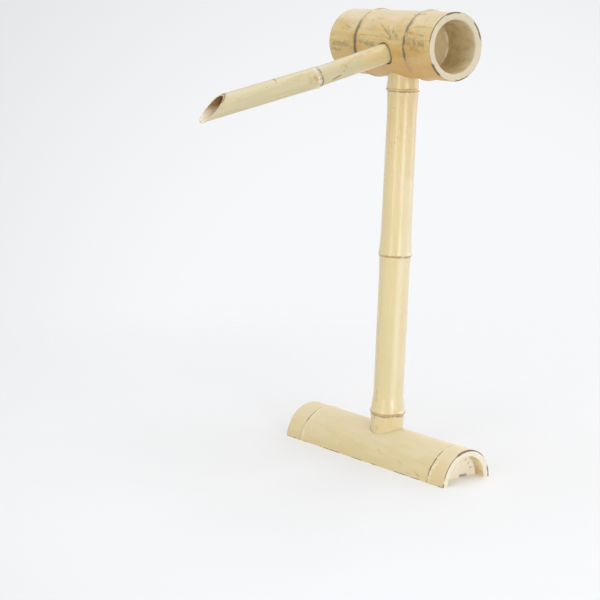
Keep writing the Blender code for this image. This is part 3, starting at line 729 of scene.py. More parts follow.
        # Painted light: the wall is paler close to a sawn end, where light falls in at the opening.
        rim = culm.painted_light_rim * MM
        depth = graph.smallest(*culm.edge_distances(spot).values())
        pale = graph.product(graph.step(graph.rising(depth, blotch, rim * 0.5), rim, 0.0), 0.85)
        if culm.painted_light_below:
            top, bottom = (culm.bore * MM * share for share in PAINTED_LIGHT_SIDE)
            pale = graph.product(pale, graph.step(spot.y, top, bottom))
        colour = graph.mix(graph.step(blotch, *HOLLOW_BLOTCHES.window), self.inner, self.deep)
        colour = graph.layered(colour, self.plate, graph.step(fibre, *HOLLOW_FIBRES.window), 0.22)
        colour = graph.mix(pale, colour, self.sawn)
        graph.relief(graph.plus(fibre, blotch), 0.0002)
        return graph.finish(colour, graph.rising(0.55, blotch, 0.2))

    def diaphragm(self, culm: "Culm") -> bpy.types.Material:
        """A diaphragm's face: dull and mottled, speckled and frayed white close to the wall."""
        graph = Graph(f"{self.name}_diaphragm")
        spot = Spot(graph)
        hollow = (culm.radius - culm.wall) * MM
        mottle = graph.noise(spot.place, PLATE_MOTTLE)
        grit = graph.noise(spot.place, PLATE_GRIT)
        darker = graph.mix(0.3, self.plate, self.inner)
        colour = graph.mix(graph.step(mottle, *PLATE_MOTTLE.window), self.plate, darker)
        colour = graph.layered(colour, self.sawn, graph.step(grit, *PLATE_GRIT.window), 0.2)
        distance, chance = graph.cells(spot.place, PLATE_DOTS)
        dots = graph.product(graph.step(distance, *PLATE_DOTS.window), graph.step(chance, *DOT_CHANCE))
        patch = graph.cover(spot.place, PLATE_PATCHES)
        rim = graph.product(graph.step(spot.radius, *(hollow * share for share in DOTTED_RIM)), patch)
        colour = graph.layered(colour, self.deep, dots, rim, 0.7)
        for x, y, size in self.blemishes:
            from_it = graph.vector("DISTANCE", spot.across, (x * MM, y * MM, 0.0))
            off_ring = graph.math("ABSOLUTE", graph.minus(from_it, size * MM))
            ring = graph.product(graph.step(off_ring, *RING_SIDE), graph.step(grit, *RING_GAPS))
            colour = graph.layered(colour, self.smudge, ring, 0.7)
        torn = graph.rising(spot.radius, grit, 4.0)
        frayed = graph.step(torn, *(hollow * share for share in FRAYED_RIM))
        colour = graph.layered(colour, FRAYED_WHITE, frayed, patch, 0.8)
        graph.relief(graph.rising(mottle, grit, 0.4), 0.0003)
        return graph.finish(colour, 0.72)

    def materials(self, culm: "Culm") -> list[bpy.types.Material]:
        """The four materials of a culm, in the order of the zones."""
        return [self.skin(culm), self.sawn_end(culm), self.inner_wall(culm), self.diaphragm(culm)]


def deselect_all() -> None:
    """Leaves object mode with nothing selected."""
    if bpy.context.object and bpy.context.object.mode != "OBJECT":
        bpy.ops.object.mode_set(mode="OBJECT")
    bpy.ops.object.select_all(action="DESELECT")


def make_active(obj: bpy.types.Object) -> None:
    """Selects one object alone and makes it the active one."""
    deselect_all()
    obj.select_set(True)
    bpy.context.view_layer.objects.active = obj


@contextmanager
def whole_mesh(obj: bpy.types.Object) -> Iterator[None]:
    """Edit mode with the object's whole mesh selected, and object mode again afterwards."""
    make_active(obj)
    bpy.ops.object.mode_set(mode="EDIT")
    bpy.ops.mesh.select_all(action="SELECT")
    yield
    bpy.ops.object.mode_set(mode="OBJECT")


def smooth(obj: bpy.types.Object) -> None:
    """Smooths an object's round faces and leaves its corners sharp."""
    make_active(obj)
    bpy.ops.object.shade_smooth_by_angle(angle=SMOOTH_ANGLE)


def turned(name: str, outline: Outline, steps: int) -> bpy.types.Object:
    """A shape drawn out along an outline from one point and spun round the Z axis.

    Args:
        name: the object's name.
        outline: (radius, height) points. It closes on itself, or it starts and ends on the axis.
        steps: how many steps the spin has.

    Returns:
        The object, closed, with its faces pointing outwards.
    """
    deselect_all()
    bpy.ops.mesh.primitive_plane_add(size=OVERRUN, location=(0, 0, 0))
    made = bpy.context.object
    made.name = name
    with whole_mesh(made):
        bpy.ops.mesh.merge(type="CENTER")
        bpy.ops.mesh.select_all(action="SELECT")
        radius, height = outline[0]
        bpy.ops.transform.translate(value=(radius, 0, height))
        for (r0, z0), (r1, z1) in zip(outline, outline[1:]):
            bpy.ops.mesh.extrude_vertices_move(TRANSFORM_OT_translate={"value": (r1 - r0, 0, z1 - z0)})
        bpy.ops.mesh.select_all(action="SELECT")
        bpy.ops.mesh.spin(steps=steps, angle=2 * math.pi, center=(0, 0, 0), axis=(0, 0, 1))
        bpy.ops.mesh.select_all(action="SELECT")
        bpy.ops.mesh.remove_doubles(threshold=WELD)
        bpy.ops.mesh.normals_make_consistent(inside=False)
    return made


def settle(obj: bpy.types.Object, place: Matrix) -> None:
    """Puts an object in its place and makes the place part of its mesh."""
    make_active(obj)
    obj.matrix_world = place
    bpy.ops.object.transform_apply(location=True, rotation=True, scale=True)


def carve(obj: bpy.types.Object, cutter: bpy.types.Object) -> None:
    """Cuts one shape out of another and removes the cutter."""
    make_active(obj)
    cut = obj.modifiers.new("cut", "BOOLEAN")
    cut.operation = "DIFFERENCE"
    cut.solver = "EXACT"
    cut.object = cutter
    bpy.ops.object.modifier_apply(modifier=cut.name)
    bpy.data.objects.remove(cutter)


def rod_cutter(radius: float, low: float, high: float, place: Matrix, steps: int = 96) -> bpy.types.Object:
    """A cylinder along its own Z axis, from low to high, in a place."""
    deselect_all()
    middle = (0, 0, (low + high) / 2)
    bpy.ops.mesh.primitive_cylinder_add(vertices=steps, radius=radius, depth=high - low, location=middle)
    made = bpy.context.object
    settle(made, place @ Matrix.Translation(middle))
    return made


def box_cutter(low: Triple, high: Triple, place: Matrix = LEVEL) -> bpy.types.Object:
    """A box between two corners, in a place."""
    deselect_all()
    bpy.ops.mesh.primitive_cube_add(size=1)
    made = bpy.context.object
    near, far = Vector(low), Vector(high)
    settle(made, place @ Matrix.Translation((near + far) / 2) @ Matrix.Diagonal((*(far - near), 1)))
    return made


def ring_noise(angle: float, seed: float, pace: float = 1.1) -> float:
    """Noise from about -1 to 1 that meets itself after a full turn."""
    return noise.noise(Vector((math.cos(angle) * pace, math.sin(angle) * pace, seed)))


def from_axis(centre: np.ndarray, normal: np.ndarray) -> Pair:
    """How far a face's middle is from the culm's axis, and how much of its normal points away from there."""
    radius = math.hypot(centre[0], centre[1])
    return radius, (centre[0] * normal[0] + centre[1] * normal[1]) / max(radius, TINY)


# How far the middle of a face may be off the surface that it belongs to.
SURFACE_PLAY = 0.0002
# How much of its normal has to point away from the axis for skin, and towards it for the hollow's wall.
SKIN_FACING = 0.3
WALL_FACING = -0.6
# Over which shares of a node's reach the form of its ridge is evened out.
RIDGE_SPREAD = np.linspace(-0.05, 0.05, 7)
# Where a node's reach has rings: close together on the ridge, wider apart beside it.
NODE_RINGS = (*np.linspace(-1, -0.4, 7), *np.linspace(-0.38, 0.36, 38), *np.linspace(0.4, 1, 7))
# A sawn end's worn corners, in shares of how far each is worn: across the wall and back from the end.
INNER_ROUND = ((0, 1), (0.1, 0.55), (0.35, 0.2), (1, 0))
OUTER_ROUND = ((1, 0), (0.3, 0.3))
# Where the flat of a sawn end has points between the two corners.
WALL_SHARES = (0.45, 0.7)


@dataclass
class Culm:
    """A length of bamboo, turned along its own Z axis. Sizes are in metres."""

    name: str
    cad_node: str
    body: str
    slot: str
    finish: BambooFinish
    radius: float
    wall: float
    ends: Pair
    nodes: tuple[float, ...]
    reaches: tuple[float, ...]
    ridge: float
    place: Matrix
    steps: int = 144
    girth: tuple[Pair, ...] = ()
    groove_offset: float = -0.0013
    groove_depth: float = 0.0005
    groove_width: float = 0.0007
    wander: float = 0.0006
    wander_pace: float = 1.1
    lump: float = 0.0003
    lump_size: float = 0.03
    corner: float = 0.0004
    inner_corner: float = 0.0005
    # How deep from a sawn end the hollow's wall is painted lighter, and whether only its lower side is: painted
    # light.
    painted_light_rim: float = 0.010
    painted_light_below: bool = False
    ring_step: float = 0.005
    drifts: tuple[tuple[Pair, ...], ...] = ()
    node_form: tuple[Pair, ...] = (
        (-1.00, 0.00),
        (-0.35, 0.16),
        (-0.09, 0.28),
        (-0.04, 0.84),
        (0.05, 1.00),
        (0.14, 0.52),
        (0.50, 0.30),
        (1.00, 0.00),
    )
    seed: float = 1.0

    # The outer share of the wall that swells and wanders with the skin.
    SKIN_SHARE: ClassVar[float] = 0.6
    # The swellings are longer along the culm than round it.
    LUMP_STRETCH: ClassVar[float] = 0.4

    def outer_radius(self, height: float) -> float:
        """The skin's radius at a height, with the nodes' ridges and the grooves at their scars."""
        steps, rises = np.array(self.node_form).T
        radius = np.interp(height, *zip(*self.girth)) if self.girth else self.radius
        for node, reach in zip(self.nodes, self.reaches):
            share = (height - node) / reach
            radius += self.ridge * np.interp(share + RIDGE_SPREAD, steps, rises).mean()
            away = (height - node - self.groove_offset) / self.groove_width
            radius -= self.groove_depth * math.exp(-away * away)
        return float(radius)

    def ring_heights(self, low: float, high: float) -> list[float]:
        """Heights of the skin's rings, from high to low: close together at the nodes, wide apart elsewhere."""
        count = round((high - low) / self.ring_step)
        heights = set(np.linspace(low, high, count + 1))
        for node, reach in zip(self.nodes, self.reaches):
            heights = {h for h in heights if abs(h - node) > reach}
            heights |= {node + reach * share for share in NODE_RINGS}
        return sorted({float(h) for h in (*heights, low, high) if low <= h <= high}, reverse=True)

    def skin_outline(self, low: float, high: float) -> Outline:
        """(radius, height) points down the skin."""
        return [(self.outer_radius(h), h) for h in self.ring_heights(low, high)]

    def rim_outline(self, inner: float, end: float, up: bool) -> Outline:
        """Points across a sawn end from the inner wall to the skin, with both corners worn round."""
        sign = 1 if up else -1
        outer = self.outer_radius(end)
        worn, inside = self.corner, self.inner_corner
        points = [(inner + inside * across, end - sign * inside * back) for across, back in INNER_ROUND]
        points += [(inner + (outer - inner) * share, end) for share in WALL_SHARES]
        points += [(outer - worn * across, end - sign * worn * back) for across, back in OUTER_ROUND]
        return points

    def wandering(self, angle: float, height: float) -> float:
        """How far the nodes' lines stray along the culm at a place."""
        stray = 0.0
        for number, (node, reach) in enumerate(zip(self.nodes, self.reaches)):
            share = max(0.0, 1 - abs(height - node) / reach)
            if share:
                own = self.wander * ring_noise(angle, self.seed + number * 3.7, self.wander_pace)
                if self.drifts:
                    degrees, drift = zip(*self.drifts[number])
                    own += float(np.interp(math.degrees(angle), degrees, drift, period=360))
                stray += own * eased(share)
        return stray

    def weather(self, obj: bpy.types.Object) -> None:
        """Lets node lines wander and the skin swell and sink a little. It never grows past the even culm."""
        innermost = self.radius - self.wall * self.SKIN_SHARE
        for vertex in obj.data.vertices:
            x, y, z = vertex.co
            radius = math.hypot(x, y)
            if radius > innermost:
                swell = noise.noise(Vector((x, y, z * self.LUMP_STRETCH + self.seed)) / self.lump_size)
                share = 1 - self.lump * (0.5 - 0.5 * swell) / radius
                vertex.co.x, vertex.co.y = x * share, y * share
                vertex.co.z = z + self.wandering(math.atan2(y, x), z)

    def straight_places(self, obj: bpy.types.Object) -> np.ndarray:
        """Each vertex's place on the straight, even culm."""
        back = np.array(self.place.inverted())
        places = np.zeros(len(obj.data.vertices) * 3, np.float32)
        obj.data.vertices.foreach_get("co", places)
        places = places.reshape(-1, 3).astype(float) @ back[:3, :3].T + back[:3, 3]
        return self.straightened(places)

    def straightened(self, places: np.ndarray) -> np.ndarray:
        """Takes the wandering of the nodes out of places in the culm's own frame."""
        for place in places:
            place[2] -= self.wandering(math.atan2(place[1], place[0]), place[2])
        return places

    def edge_distances(self, spot: Spot) -> dict[Edge, Socket]:
        """How far a place on the skin is from each sawn edge, in millimetres."""
        low, high = self.ends
        return {
            Edge.LOW: spot.graph.minus(spot.z, low * MM),
            Edge.HIGH: spot.graph.minus(high * MM, spot.z),
        }

    def hole_distances(self, spot: Spot) -> list[Socket]:
        """How far a place is from the burnt edge of each hole, in millimetres: a plain culm has none."""
        return []

    def zone_at(self, centre: np.ndarray, normal: np.ndarray) -> Zone:
        """The kind of surface that a face belongs to.

        Args:
            centre: the face's middle on the straight culm.
            normal: its normal in the culm's own frame.

        Returns:
            The zone.
        """
        radius, outward = from_axis(centre, normal)
        hollow = self.radius - self.wall
        if radius > self.outer_radius(centre[2]) - self.wall / 4 and outward > SKIN_FACING:
            return Zone.SKIN
        if min(abs(centre[2] - end) for end in self.ends) < self.corner * 1.2:
            return Zone.SAWN
        if radius > hollow - 2 * SURFACE_PLAY and outward < WALL_FACING:
            return Zone.INNER
        return Zone.SAWN if radius > hollow - SURFACE_PLAY else Zone.PLATE

    def dress(self, obj: bpy.types.Object) -> None:
        """Stores the straight places, shares out the materials and smooths the round faces."""
        places = self.straight_places(obj)
        layer = obj.data.attributes.new(PLACE, "FLOAT_VECTOR", "POINT")
        layer.data.foreach_set("vector", places.astype(np.float32).ravel())
        obj.data.materials.clear()
        for material in self.finish.materials(self):
            obj.data.materials.append(material)
        turn = np.array(self.place.inverted())[:3, :3]
        for face in obj.data.polygons:
            centre = places[list(face.vertices)].mean(axis=0)
            face.material_index = self.zone_at(centre, turn @ np.array(face.normal)).value
        smooth(obj)

    def stand_in(self, obj: bpy.types.Object) -> None:
        """Makes the piece ride on its body in the CAD node's stead."""
        obj.name = self.name
        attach(obj, self.body)
        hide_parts(self.cad_node)

    def shape(self) -> bpy.types.Object:
        """The culm in its place."""
        raise NotImplementedError

    def build(self) -> list[bpy.types.Object]:
        """Shapes the culm, dresses it and puts it on its body.

        Returns:
            The pieces that were made.
        """
        obj = self.shape()
        self.dress(obj)
        self.stand_in(obj)
        return [obj]


@dataclass
class ClosedCulm(Culm):
    """A culm that is open at both ends down to a diaphragm, with a closed hollow between the two."""

    plates: Pair = (0.0, 0.0)
    plate_thickness: float = 0.004
    dish: float = 0.003
    dish_start_share: float = 0.72
    fringe: float = 0.0011
    fringe_thickness: float = 0.00025

    # A frayed skin's rings, in shares of its height, and how much of its height its torn edge keeps.
    FRINGE_RINGS: ClassVar[Triple] = (0.4, 0.35, 0.25)
    TORN_LIMITS: ClassVar[Pair] = (0.12, 1.15)
    # The seeds and paces of its tears, of their waves and of its curls.
    TORN_NOISE: ClassVar[tuple[Pair, ...]] = ((9, 14.0), (0, 2.5), (4, 9.0))
    # How far its free edge curls in, as a share of its radius.
    CURL: ClassVar[float] = 0.012
    # How deep it goes on behind the end of the diaphragm's dish, as a share of its height.
    ROOT: ClassVar[float] = 0.3

    @property
    def inner(self) -> float:
        """The hollow's radius."""
        return self.radius - self.wall

    def dished(self, face: float, dish: float) -> Outline:
        """Points across a diaphragm's face, from its middle to the wall."""
        flat = self.dish_start_share
        shares = (0.0, 0.25, 0.5, flat, 0.80, 0.87, 0.92, 0.96, 1.0)
        climbs = (max(0.0, share - flat) / (1 - flat) for share in shares)
        return [(self.inner * share, face + dish * climb**1.7) for share, climb in zip(shares, climbs)]

    def solid_outline(self) -> Outline:
        """The whole culm's outline, from the middle of its upper diaphragm round to that of its lower one."""
        half = self.plate_thickness / 2
        low, high = self.ends
        upper = self.dished(self.plates[1] + half, self.dish)
        lower = self.dished(self.plates[0] - half, -self.dish)
        top, bottom = upper[-1][1], lower[-1][1]
        rising = [(self.inner, top + (high - top) * share) for share in (0.2, 0.45, 0.7, 0.9)]
        falling = [(self.inner, low + (bottom - low) * share) for share in (0.1, 0.3, 0.55, 0.8)]
        outline = upper + rising + self.rim_outline(self.inner, high, up=True)
        outline += self.skin_outline(low + self.corner, high - self.corner)
        outline += self.rim_outline(self.inner, low, up=False)[::-1] + falling
        return outline + lower[::-1]

    def chamber_outline(self) -> Outline:
        """The hollow between the diaphragms."""
        half = self.plate_thickness / 2
        upper = self.dished(self.plates[1] - half, -self.dish)
        lower = self.dished(self.plates[0] + half, self.dish)
        return upper + lower[::-1]

    def hollowed(self) -> bpy.types.Object:
        """The culm with its hollow, in its place."""
        body = turned(self.name, self.solid_outline(), self.steps)
        self.weather(body)
        settle(body, self.place)
        hollow = turned(f"{self.name}_hollow", self.chamber_outline(), self.steps // 2)
        settle(hollow, self.place)
        carve(body, hollow)
        return body

    def trim(self, ring: bpy.types.Object) -> None:
        """Cuts a frayed skin off where the culm itself is cut off, which a whole culm nowhere is."""

    def build(self) -> list[bpy.types.Object]:
        """The culm and the frayed skins round its two diaphragms."""
        return [*super().build(), self.build_fringe(Edge.LOW), self.build_fringe(Edge.HIGH)]

    def tear(self, ring: bpy.types.Object, base: float) -> None:
        """Tears a frayed skin's free edge and curls it inwards.

        Args:
            ring: the skin, along its own axis.
            base: the height at which it grows from the wall.
        """
        lowest, highest = self.TORN_LIMITS
        for vertex in ring.data.vertices:
            angle = math.atan2(vertex.co.y, vertex.co.x)
            tears, waves, curls = (ring_noise(angle, self.seed + shift, pace) for shift, pace in self.TORN_NOISE)
            rise = vertex.co.z - base
            vertex.co.z = base + rise * min(max(0.5 + 0.9 * tears + 0.5 * waves, lowest), highest)
            curl = 1 - self.CURL * abs(rise) / self.fringe * (1 + curls)
            vertex.co.x *= curl
            vertex.co.y *= curl

    def build_fringe(self, side: Edge) -> bpy.types.Object:
        """The frayed white skin that stands round a diaphragm's edge.

        Args:
            side: the end that the diaphragm is near.

        Returns:
            The piece, on its body.
        """
        upper = side is Edge.HIGH
        sign = 1 if upper else -1
        base = self.plates[side] + sign * (self.plate_thickness / 2 + self.dish - self.fringe * self.ROOT)
        place = (0, 0, base)
        radius = self.inner - FIT_GAP / 2 - self.fringe_thickness
        deselect_all()
        bpy.ops.mesh.primitive_circle_add(vertices=self.steps * 2, radius=radius, location=place)
        ring = bpy.context.object
        with whole_mesh(ring):
            for share in self.FRINGE_RINGS:
                rise = (0, 0, sign * self.fringe * share)
                bpy.ops.mesh.extrude_region_move(TRANSFORM_OT_translate={"value": rise})
        settle(ring, Matrix.Translation(place))
        self.tear(ring, base)
        make_active(ring)
        thick = ring.modifiers.new("thickness", "SOLIDIFY")
        thick.thickness = self.fringe_thickness
        thick.offset = 0
        bpy.ops.object.modifier_apply(modifier=thick.name)
        with whole_mesh(ring):
            bpy.ops.mesh.normals_make_consistent(inside=False)
        settle(ring, self.place)
        self.trim(ring)
        ring.name = f"{self.name}_fringe_{'right' if upper else 'left'}"
        ring.data.materials.append(fringe_material(f"{ring.name}_skin", self.finish))
        smooth(ring)
        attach(ring, self.body)
        return ring


def fringe_material(name: str, finish: BambooFinish) -> bpy.types.Material:
    """Thin pale inner skin, whiter where it is frayed."""
    graph = Graph(name)
    place = graph.object_place()
    torn = graph.noise(place, FRINGE_TEARS)
    colour = graph.mix(graph.step(torn, *FRINGE_TEARS.window), finish.plate, finish.sawn)
    colour = graph.layered(colour, finish.plate, graph.cover(place, FRINGE_STAINS), 0.5)
    graph.relief(torn, 0.0003)
    return graph.finish(colour, 0.7)


HEAD_HEIGHT = 0.555
HEAD_YAW = math.radians(-7.5)
HEAD_PIVOT = Matrix.Translation((0, 0, HEAD_HEIGHT)) @ Matrix.Rotation(HEAD_YAW, 4, "Z")
SPOUT_DROOP = math.radians(16.2)
SPOUT_SIDE_SHIFT = 0.0076
SPOUT_LOW_SHIFT = 0.0012
SPOUT_PLACE = (
    HEAD_PIVOT
    @ Matrix.Translation((SPOUT_SIDE_SHIFT, 0, -SPOUT_LOW_SHIFT))
    @ Matrix.Rotation(RIGHT_ANGLE + SPOUT_DROOP, 4, "X")
)
LYING = Matrix.Rotation(RIGHT_ANGLE, 4, "Y")
POST_TOP_RADIUS = 0.0207
POST_FOOT_RADIUS = 0.0222
POST_START = 0.0209
HOSE_HEIGHT = 0.0143
HOSE_HOLE = 0.0063
HOSE_LINE = Matrix.Translation((0, 0, HOSE_HEIGHT)) @ LYING
SPOUT_ROOT_RADIUS = 0.0129

HEAD_FINISH = BambooFinish(
    name="brown_bamboo",
    light=tone(227, 201, 136),
    dark=tone(211, 180, 111),
    warm=tone(213, 171, 94),
    cool=tone(203, 184, 133),
    roughness=0.4,
    sawn=tone(216, 206, 182),
    inner=tone(222, 204, 164),
    deep=tone(200, 180, 136),
    plate=tone(214, 195, 152),
    scorch=tone(102, 76, 58),
    # A painted sheen on the head's top and painted shade on its underside.
    painted_sheen=tone(223, 210, 183),
    painted_sheen_share=0.6,
    under=tone(201, 155, 84),
    painted_shade_share=0.7,
    blemishes=((0.0075, -0.017, 0.0036),),
    lines=(
        NodeLine(0.0016, 0.015, tone(160, 136, 98), 0.3, 0.4, 0.0045, 14.0),
        NodeLine(-0.0044, 0.0018, tone(228, 212, 178), 0.45, 0.4, 0.0006, 12.0, (1,), (-105, 40)),
        NodeLine(-0.0004, 0.004, tone(172, 132, 92), 0.8, 0.18, 0.001, 4.0),
        NodeLine(0.0002, 0.007, tone(104, 93, 72), 0.92, 0.14, 0.0016, 1.0, (0,), (-92, 36)),
        NodeLine(-0.0006, 0.0046, tone(140, 112, 84), 0.8, 0.14, 0.0012, 6.0, (0,), (-148, 34)),
        NodeLine(0.0004, 0.0074, tone(124, 112, 94), 0.85, 0.14, 0.0016, 2.6, (1,), (-124, 12)),
        NodeLine(0.0002, 0.0066, tone(104, 92, 72), 0.92, 0.1, 0.0014, 2.6, (1,), (-86, 19)),
        NodeLine(-0.0006, 0.004, tone(140, 112, 84), 0.8, 0.2, 0.0012, 6.0, (1,), (-146, 16)),
        NodeLine(-0.0004, 0.006, tone(138, 122, 98), 0.75, 0.4, 0.0012, 7.0, arc=(100, 70)),
    ),
    smudge=tone(140, 122, 90),
    contrast=0.4,
    grain=0.4,
    cloud_size=26.0,
    warm_share=0.65,
    cool_share=0.45,
    smudge_share=0.35,
    speck_share=0.12,
    scorch_width=0.9,
    marks=(
        Marks.of(
            tone(132, 118, 90),
            Stroke((-86, -0.1), (-84, -0.07), 0.01, 0.58, 0.49, True),
            Stroke((-76, -0.104), (-74, -0.085), 0.006, 0.55, 0.5, True),
            Stroke((-118, -0.078), (-116, -0.07), 0.004, 0.35, 0.48, True),
            Stroke((-90, -0.046), (-88, -0.014), 0.009, 0.55, 0.48, True),
            Stroke((-99, 0.016), (-97, 0.026), 0.0026, 0.5, 0.42, True),
            Stroke((-96, 0.06), (-92, 0.085), 0.012, 0.62, 0.48, True),
            Stroke((-84, 0.064), (-83, 0.078), 0.008, 0.5, 0.49),
            Stroke((-110, 0.058), (-106, 0.086), 0.0034, 0.55, 0.46, True),
            Stroke((-122, 0.064), (-123, 0.086), 0.0034, 0.4, 0.47, True),
            Stroke((-150, 0.044), (-154, 0.062), 0.006, 0.5, 0.46),
            Stroke((-113, 0.053), (-101, 0.056), 0.004, 0.55, 0.44),
            Stroke((-140, -0.096), (-142, -0.08), 0.0045, 0.35, 0.48, True),
            Stroke((-138, -0.024), (-136, -0.01), 0.004, 0.3, 0.48, True),
        ),
        Marks.of(
            tone(134, 110, 76),
            Stroke((-127, -0.01), (-115, 0.005), 0.0024, 0.45, 0.46),
            Stroke((-115, 0.005), (-101, 0.022), 0.0034, 0.6, 0.42),
            Stroke((-118, 0.01), (-109, 0.017), 0.006, 0.6, 0.46),
            Stroke((-113, 0.023), (-104, 0.033), 0.007, 0.55, 0.47),
            Stroke((-104, -0.044), (-102, -0.004), 0.0007, 0.55, 0.42),
            Stroke((-99.5, 0.012), (-97.7, 0.046), 0.0007, 0.45, 0.42),
        ),
        Marks.of(
            tone(232, 218, 186),
            Stroke((-121, 0.015), (-108, 0.021), 0.002, 0.45, 0.46),
            Stroke((-118, 0.024), (-110, 0.03), 0.0024, 0.4, 0.48),
            Stroke((-101, -0.044), (-95, 0.048), 0.0012, 0.3, 0.42),
        ),
        # A wide pale patch on the upper front of the left end: painted sheen.
        Marks.of(tone(226, 210, 178), Stroke((-160, -0.104), (-140, -0.064), 0.026, 0.55, 0.0)),
    ),
    burns=(
        Burn(Edge.HIGH, -170, 17, 0.0019),
        Burn(Edge.HIGH, -124, 30, 0.0009),
        Burn(Edge.HIGH, 120, 18, 0.0027),
        Burn(Edge.HIGH, 18, 16, 0.0017),
        Burn(Edge.HIGH, -46, 14, 0.002),
        Burn(Edge.LOW, 60, 25, 0.0018),
    ),
)

POST_FINISH = BambooFinish(
    name="glossy_bamboo",
    light=tone(230, 212, 161),
    dark=tone(226, 205, 151),
    warm=tone(228, 202, 141),
    cool=tone(221, 209, 156),
    roughness=0.26,
    sawn=tone(228, 214, 180),
    inner=tone(206, 184, 136),
    deep=tone(170, 142, 92),
    plate=tone(210, 190, 146),
    scorch=tone(150, 110, 64),
    lines=(
        # A wide golden band round the post just below the head: painted shade cast by the head.
        NodeLine(-0.02, 0.1, tone(206, 176, 116), 0.28, 0.0, 0.02, 1.0, (2,)),
        NodeLine(-0.001, 0.003, tone(158, 130, 98), 0.85, 0.28, 0.0004, 2.0, (2,)),
        NodeLine(0.002, 0.0012, tone(176, 144, 92), 0.5, 0.44, 0.0004, 3.0, (2,)),
        NodeLine(-0.001, 0.0032, tone(182, 148, 100), 0.9, 0.16, 0.0006, 5.0, (1,)),
        NodeLine(0.0006, 0.0022, tone(190, 146, 92), 0.8, 0.2, 0.0004, 8.0, (0,)),
        NodeLine(-0.0024, 0.0036, tone(170, 146, 116), 0.85, 0.12, 0.0005, 9.0, (0,)),
    ),
    smudge=tone(196, 172, 124),
    contrast=0.3,
    grain=0.15,
    coat=0.65,
    # A painted reflection: the post's flank that faces 35 degrees round from +X is painted paler.
    painted_sheen=tone(240, 228, 200),
    painted_sheen_share=0.45,
    painted_sheen_way=35.0,
    cloud_size=30.0,
    cloud_stretch=0.35,
    warm_share=0.35,
    cool_share=0.3,
    smudge_share=0.05,
    fleck_offset=-0.0054,
    fleck_cover=0.2,
    speck=tone(150, 122, 84),
    speck_share=0.08,
    speck_size=0.2,
    scorch_width=0.4,
    relief_depth=0.00001,
    marks=(
        # A pale vertical stripe low on the post: a painted highlight, the reflection of a lamp.
        Marks.of(tone(243, 230, 196), Stroke((-27, 0.074), (-23, 0.271), 0.0084, 0.6, 0.0)),
        Marks.of(
            tone(214, 184, 120),
            # Painted shade from the head on the post's right flank below it.
            Stroke((8, 0.39), (10, 0.53), 0.022, 0.35, 0.0),
            Stroke((-99, 0.094), (-98, 0.09), 0.005, 0.6, 0.05),
            Stroke((-97, 0.083), (-97, 0.081), 0.0045, 0.75, 0.05),
            Stroke((-86, 0.045), (-84, 0.043), 0.005, 0.6, 0.05),
        ),
        Marks.of(
            tone(146, 118, 82),
            Stroke((-60.4, 0.4359), (-58, 0.4345), 0.001, 0.6, 0.3),
            Stroke((-71, 0.4285), (-68, 0.4275), 0.0011, 0.6, 0.3),
            Stroke((-49, 0.3775), (-48.5, 0.3765), 0.0008, 0.6, 0.2),
            Stroke((-29, 0.37), (-28.5, 0.369), 0.001, 0.6, 0.2),
            Stroke((-82, 0.473), (-81, 0.472), 0.001, 0.5, 0.2),
            Stroke((-97.4, 0.0572), (-95, 0.0566), 0.0018, 0.7, 0.2),
        ),
    ),
)

